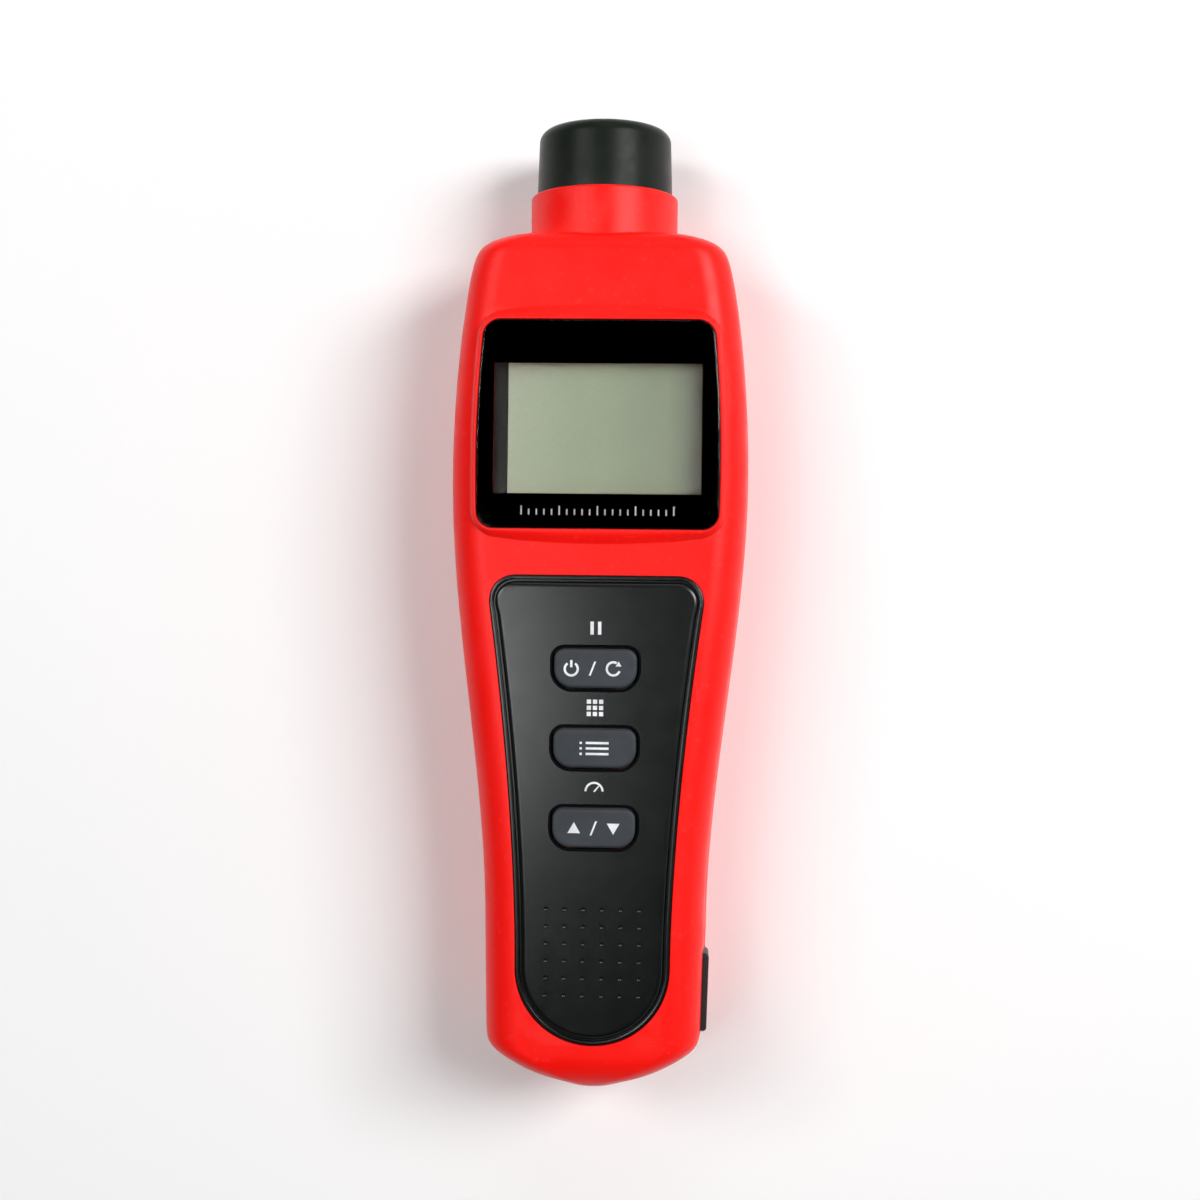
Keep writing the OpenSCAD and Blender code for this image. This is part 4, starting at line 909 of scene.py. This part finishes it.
def case_red():
    dark, light = srgb(249, 15, 8), srgb(252, 20, 12)
    f = moulded("case_red", dark, light, (0.36, 0.44), 30, 2400, 0.006, specular_ior_level=0.22)
    dust = f.spread(f.noise(900, 2), 0.0, 0.05, 0.62, 0.75)
    dusted = f.mix(dust, f.tone(), srgb(250, 140, 130))
    f.colour(f.wear(dusted, srgb(250, 90, 80), 0.10))
    return f.material


def hood_black():
    f = moulded("hood_black", srgb(19, 25, 19), srgb(26, 32, 26), (0.34, 0.42), 60, 2600, 0.005)
    f.set(specular_ior_level=0.14, sheen_weight=0.14, sheen_roughness=0.35)
    f.colour(f.wear(f.tone(), srgb(80, 84, 80), 0.3))
    return f.material


def panel_dark():
    return moulded("panel_dark", srgb(6, 11, 10), srgb(10, 15, 14), (0.24, 0.27), 50, 5200, 0.004).material


def key_rubber():
    dark, light = srgb(38, 44, 50), srgb(45, 51, 57)
    f = moulded("key_rubber", dark, light, (0.56, 0.66), 90, 4200, 0.012, sheen_weight=0.05)
    f.colour(f.wear(f.tone(), srgb(96, 98, 100), 0.35))
    return f.material


def cover_rubber():
    dark, light = srgb(18, 19, 20), srgb(30, 31, 32)
    return moulded("cover_rubber", dark, light, (0.55, 0.68), 120, 3000, 0.02, sheen_weight=0.2).material


def window_clear():
    f = Finish("window_clear", transmission_weight=1.0, ior=1.46)
    f.colour(f.ramp(f.noise(20), [(0.3, (0.97, 0.98, 0.97, 1.0)), (0.7, (1.0, 1.0, 1.0, 1.0))]))
    f.rough(f.spread(f.noise(60, 5), 0.01, 0.045))
    f.relief(f.noise(45, 1), 0.004)
    return f.material


def lens_clear():
    f = Finish("lens_clear", transmission_weight=1.0, ior=1.49)
    f.colour(f.ramp(f.noise(200), [(0.3, (0.93, 0.95, 0.97, 1.0)), (0.7, (0.98, 0.99, 1.0, 1.0))]))
    f.rough(f.spread(f.noise(400, 3), 0.01, 0.05))
    return f.material


def lens_red():
    f = Finish("lens_red", transmission_weight=0.9, ior=1.49)
    f.colour(f.ramp(f.noise(150), [(0.3, (0.30, 0.02, 0.03, 1.0)), (0.7, (0.38, 0.03, 0.04, 1.0))]))
    f.rough(f.spread(f.noise(400, 3), 0.03, 0.09))
    return f.material


def mask_black():
    return moulded("mask_black", srgb(2, 3, 1), srgb(5, 5, 4), (0.30, 0.40), 80, 2000, 0.002).material


def lcd_glass():
    """The reflective display: a grey-green film with painted shading, lighter at the left as a painted sheen
    and darker to the right as painted shade, with a fine cell grid.
    """
    f = Finish("lcd_glass", specular_ior_level=0.35)
    across = f.spread(f.axis("X"), 0.0, 1.0, -LCD_HALF * MM, LCD_HALF * MM)
    # Painted shading across the display: a painted sheen at the left, painted shade towards the right, and a
    # painted shadow of the window's edge at the right end
    painted_shading = [(0.0, (212, 222, 196)), (0.45, (191, 204, 174)), (0.8, (178, 189, 162)), (1.0, (138, 145, 132))]
    tone = f.ramp(across, [(place, srgb(*shade)) for place, shade in painted_shading])
    speck = f.spread(f.noise(2600, 2), 0.0, 0.12)
    f.colour(f.mix(speck, tone, srgb(140, 150, 130)))
    f.rough(f.spread(f.noise(200, 3), 0.28, 0.38))
    f.relief(f.noise(6000, 1), 0.002)
    return f.material


def board_green():
    """Green lacquer over traces, which stand up a little and look lighter."""
    f = Finish("board_green", specular_ior_level=0.5)
    brick = f.nodes.new("ShaderNodeTexBrick")
    brick.inputs["Scale"].default_value = 260
    brick.inputs["Mortar Size"].default_value = 0.03
    f.links.new(f.place.outputs["Object"], brick.inputs["Vector"])
    trace = brick.outputs["Fac"]
    lacquer = f.ramp(f.noise(120, 3), [(0.35, (0.01, 0.11, 0.04, 1.0)), (0.65, (0.015, 0.15, 0.06, 1.0))])
    f.colour(f.mix(f.maths("MULTIPLY", trace, 0.5), lacquer, (0.05, 0.28, 0.12, 1.0)))
    f.rough(f.spread(f.noise(300, 3), 0.22, 0.34))
    f.relief(trace, 0.03)
    return f.material


def cell_jacket(node):
    """A printed jacket with a band at the button's end and bare metal at both ends."""
    f = Finish("%s_jacket" % node.name)
    along = f.axis("Y", "Generated")
    points = [v.co for v in node.data.vertices]
    far = max(c.y for c in points)
    # The band lies at the button's end, which is narrow
    end = [c.x for c in points if abs(c.y - far) < MM]
    if max(end) - min(end) > BUTTON_LIMIT * MM:
        along = f.maths("SUBTRACT", 1.0, along)
    steel, jacket, band = (0.62, 0.62, 0.62, 1.0), (0.02, 0.022, 0.025, 1.0), (0.55, 0.30, 0.10, 1.0)
    base = f.ramp(along, [(0.0, steel), (0.012, jacket), (0.78, band), (0.965, steel)], False)
    f.colour(f.mix(f.spread(f.noise(500, 4), 0.0, 0.2), base, (0.3, 0.3, 0.3, 1.0)))
    bare = [(0.0, (1, 1, 1, 1)), (0.012, (0, 0, 0, 1)), (0.78, (0.6, 0.6, 0.6, 1)), (0.965, (1, 1, 1, 1))]
    f.metal(f.ramp(along, bare, False))
    f.rough(f.spread(f.noise(300, 3), 0.22, 0.36))
    f.relief(f.noise(1500, 2), 0.004)
    return f.material


def brushed(name, dark, light, rough):
    """Bare metal with fine marks along one direction."""
    f = Finish(name, metallic=1.0)
    stretch = f.nodes.new("ShaderNodeMapping")
    stretch.inputs["Scale"].default_value = (1.0, 0.08, 1.0)
    f.links.new(f.place.outputs["Object"], stretch.inputs["Vector"])
    marks = f.nodes.new("ShaderNodeTexNoise")
    marks.inputs["Scale"].default_value = 3000
    f.links.new(stretch.outputs["Vector"], marks.inputs["Vector"])
    f.colour(f.ramp(f.noise(400, 3), [(0.35, dark), (0.65, light)]))
    f.rough(f.spread(marks.outputs["Fac"], *rough))
    f.relief(marks.outputs["Fac"], 0.003)
    return f.material


def print_white():
    dark, light = srgb(214, 218, 222), srgb(236, 240, 242)
    return moulded("print_white", dark, light, (0.5, 0.6), 400, 6000, 0.004).material


def give(obj, material):
    obj.data.materials.clear()
    obj.data.materials.append(material)


def bar(cx, cy, w, h):
    x0, x1, y0, y1 = cx - w / 2, cx + w / 2, cy - h / 2, cy + h / 2
    return [(x0, y0), (x1, y0), (x1, y1), (x0, y1)]


def slash(cx):
    """A slanted stroke between two signs."""
    return [(cx - 0.675, -1.3), (cx - 0.325, -1.3), (cx + 0.675, 1.3), (cx + 0.325, 1.3)]


def arc_band(cx, cy, r, width, start, end, steps=24):
    """A band along an arc, in degrees."""
    turns = [math.radians(blend(start, end, i / steps)) for i in range(steps + 1)]
    outer, inner = r + width / 2, r - width / 2
    points = [(cx + outer * math.cos(t), cy + outer * math.sin(t)) for t in turns]
    return points + [(cx + inner * math.cos(t), cy + inner * math.sin(t)) for t in reversed(turns)]


def wedge(cx, cy, size, turn):
    """A triangle that points along a direction in degrees."""
    turns = [math.radians(turn + a) for a in (0, 120, 240)]
    return [(cx + size * math.cos(t), cy + size * math.sin(t)) for t in turns]


def printed(name, shapes, height, body, material, thick=0.02):
    """Flat printed marks, each a thin solid whose upper face follows height(x)."""
    verts, faces = [], []
    for shape in shapes:
        n, base = len(shape), len(verts)
        verts += [(x, y, height(x) - 4 * thick) for x, y in shape]
        verts += [(x, y, height(x) + thick) for x, y in shape]
        sides = side_faces(n, 2) + [tuple(range(n)), tuple(range(n, 2 * n))]
        faces += [tuple(base + j for j in face) for face in sides]
    give(new_mesh(name, verts, faces, body), material)


def key_marks(material):
    """Generic signs on the keys: on or off with a restart, a list, and a step up or down."""
    line, r = 0.42, 1.2
    rows = (-1.0, 0.0, 1.0)
    power = [arc_band(-4.4, -0.1, r, line, 125, 415), bar(-4.4, 0.85, line, 1.3)]
    restart = [arc_band(3.3, 0, r, line, 60, 340), wedge(4.25, 0.75, 0.62, -30)]
    entries = [bar(0.5, dy, 4.2, line) for dy in rows] + [bar(-2.5, dy, line, line) for dy in rows]
    step = [wedge(-3.6, -0.25, 1.35, 90), wedge(3.6, 0.25, 1.35, -90), slash(-0.025)]
    for i, shapes in enumerate((power + [slash(-0.525)] + restart, entries, step)):
        node, body = KEYS[i]
        signs = [moved(shape, 0, key_y(i)) for shape in shapes]
        printed("%s_sign" % node, signs, lambda x: KEY_Z - KEY_DISH, body, material)


def panel_marks(material):
    """Generic small signs over the keys: a pause, a grid and a dial."""
    tiles = (-0.9, 0.0, 0.9)
    hold = [bar(dx, 0, 0.5, 1.9) for dx in (-0.55, 0.55)]
    grid = [bar(dx, dy, 0.62, 0.62) for dx in tiles for dy in tiles]
    needle = [(-0.12, -0.55), (0.12, -0.65), (0.95, 0.45), (0.85, 0.52)]
    dial = [arc_band(0, -0.55, 1.25, 0.3, 0, 180), needle]
    for i, shapes in enumerate((hold, grid, dial)):
        larger = [[(u * SIGN_SCALE, v * SIGN_SCALE) for u, v in shape] for shape in shapes]
        signs = [moved(shape, 0, key_y(i) + SIGN_RISE) for shape in larger]
        printed("panel_sign_%d" % (i + 1), signs, panel_z, "case", material)


def scale_marks(material):
    """A plain scale printed behind the window, under the display, with every fifth tick longer."""
    width, short, long = 0.3, 1.1, 1.7
    start = -SCALE_PITCH * (SCALE_COUNT - 1) / 2
    ticks = []
    for i in range(SCALE_COUNT):
        tall = long if i % SCALE_LONG == 0 else short
        ticks.append(bar(start + i * SCALE_PITCH, GLASS_LOW + SCALE_RISE + (tall - short) / 2, width, tall))
    printed("window_scale", ticks, lambda x: SEAT_Z + MASK_T, "case", material, 0.004)


def inner_finishes():
    """Materials for the CAD nodes that keep their own shape."""
    gold = brushed("brass", (0.55, 0.36, 0.12, 1.0), (0.66, 0.46, 0.18, 1.0), (0.22, 0.34))
    steel = brushed("contact_metal", (0.52, 0.52, 0.50, 1.0), (0.66, 0.66, 0.65, 1.0), (0.24, 0.38))
    screw = brushed("screw_steel", (0.20, 0.20, 0.21, 1.0), (0.32, 0.32, 0.33, 1.0), (0.30, 0.46))
    inside, chip, strip, mat, pill, diode = (
        moulded(name, srgb(*dark), srgb(*light), *look).material
        for name, dark, light, *look in (
            ("frame_dark", (30, 33, 29), (42, 45, 40), (0.45, 0.6), 90, 3000, 0.01),
            ("chip_black", (26, 26, 28), (38, 38, 40), (0.5, 0.65), 200, 6000, 0.01),
            ("strip_rubber", (206, 128, 136), (220, 146, 150), (0.6, 0.75), 200, 4000, 0.02),
            ("mat_rubber", (70, 72, 74), (84, 86, 88), (0.6, 0.75), 90, 3000, 0.02),
            ("pill_carbon", (20, 20, 20), (34, 34, 34), (0.7, 0.85), 300, 6000, 0.02),
            ("diode_dark", (18, 12, 24), (30, 20, 36), (0.12, 0.2), 300, 3000, 0.002),
        )
    )
    green = board_green()
    clear = lens_clear()
    table = {
        "nose_window": lens_red(),
        "optics_holder": inside,
        "receiver_lens": clear,
        "laser_lens": clear,
        "laser_barrel": gold,
        "photodiode": diode,
        "sensor_board": green,
        "main_board": green,
        "lcd_panel": lcd_glass(),
        "lcd_frame": inside,
        "connector_strips": strip,
        "processor_chip": chip,
        "usb_chip": chip,
        "crystal": steel,
        "capacitors": steel,
        "keypad_mat": mat,
        "usb_socket": steel,
        "case_screws": screw,
        "board_screws": steel,
    }
    for name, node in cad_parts.items():
        if name.startswith("battery_") and name[-1].isdigit():
            give(node, cell_jacket(node))
        elif name.startswith("contact_pill"):
            give(node, pill)
        elif name.startswith("contact_"):
            give(node, steel)
        elif name in table:
            give(node, table[name])


def area_light(name, place, size, power):
    """A rectangular light that faces the object."""
    data = bpy.data.lights.new(name, "AREA")
    data.shape = "RECTANGLE"
    data.size, data.size_y = size
    data.energy = power
    light = bpy.data.objects.new(name, data)
    light.location = place
    facing = Vector((0.0, 0.0, 0.02)) - Vector(place)
    light.rotation_euler = facing.to_track_quat("-Z", "Y").to_euler()
    bpy.context.scene.collection.objects.link(light)


def pale_floor():
    half = 0.95
    mesh = bpy.data.meshes.new("floor")
    corners = [(-half, -half, 0), (half, -half, 0), (half, half, 0), (-half, half, 0)]
    mesh.from_pydata(corners, [], [(0, 1, 2, 3)])
    floor = bpy.data.objects.new("floor", mesh)
    bpy.context.scene.collection.objects.link(floor)
    f = Finish("floor_pale", specular_ior_level=0.1)
    f.colour(f.ramp(f.noise(3), [(0.3, (0.95, 0.95, 0.95, 1.0)), (0.7, (0.97, 0.97, 0.97, 1.0))]))
    f.rough(f.spread(f.noise(8), 0.85, 0.95))
    give(floor, f.material)


def sky():
    """A world that is white at the horizon and dark overhead, and stronger towards the right."""
    world = bpy.data.worlds.new("studio")
    world.use_nodes = True
    nodes, links = world.node_tree.nodes, world.node_tree.links
    place = nodes.new("ShaderNodeTexCoord")
    split = nodes.new("ShaderNodeSeparateXYZ")
    ramp = nodes.new("ShaderNodeValToRGB")
    low, high = ramp.color_ramp.elements
    low.color, high.color = (1.0, 1.0, 1.0, 1.0), (0.0, 0.0, 0.0, 1.0)
    high.position = 0.6
    links.new(place.outputs["Generated"], split.inputs[0])
    links.new(split.outputs["Z"], ramp.inputs["Fac"])
    links.new(ramp.outputs["Color"], nodes["Background"].inputs["Color"])
    strength = map_range(world.node_tree, split.outputs["X"], -1.0, 1.0, 0.12, 0.95)
    links.new(strength, nodes["Background"].inputs["Strength"])
    bpy.context.scene.world = world


def studio():
    """A plain pale floor, a shaded world and soft lights."""
    pale_floor()
    sky()
    area_light("sheen_left", (-0.21, -0.05, 0.80), (0.16, 0.22), 0.92)
    area_light("key_right", (0.58, 0.26, 0.78), (0.32, 0.55), 7.6)
    area_light("fill_left", (-0.50, 0.24, 0.80), (0.26, 0.50), 3.1)
    area_light("fill_nose", (0.05, 0.85, 0.65), (0.60, 0.40), 0.9)
    bpy.context.scene.view_settings.view_transform = "Standard"


def camera():
    """Straight from the front, a little from the right, as in the photograph."""
    target = Vector((-0.05, 0.50, 17.0)) * MM
    distance, yaw, roll = 0.350, math.radians(2.6), math.radians(0.67)
    back = Vector((math.sin(yaw), 0.0, math.cos(yaw)))
    right = Vector((math.cos(yaw), 0.0, -math.sin(yaw)))
    up = Vector((0.0, 1.0, 0.0))
    turned_right = right * math.cos(roll) + up * math.sin(roll)
    turned_up = up * math.cos(roll) - right * math.sin(roll)
    data = bpy.data.cameras.new("camera")
    data.lens, data.sensor_width, data.clip_start = 54.7, 36.0, 0.01
    eye = bpy.data.objects.new("camera", data)
    axes = Matrix((turned_right, turned_up, back)).transposed()
    eye.matrix_world = Matrix.Translation(target + back * distance) @ axes.to_4x4()
    bpy.context.scene.collection.objects.link(eye)
    bpy.context.scene.camera = eye


red = case_red()
for shell in (front_shell(), rear_shell(), battery_door()):
    give(shell, red)
give(keypad_panel(), panel_dark())
rubber = key_rubber()
for index in range(len(KEYS)):
    give(key_cap(index), rubber)
give(window_pane(), window_clear())
give(window_mask(), mask_black())
give(nose_hood(), hood_black())
give(socket_cover(), cover_rubber())
white = print_white()
key_marks(white)
panel_marks(white)
scale_marks(white)
inner_finishes()
studio()
camera()
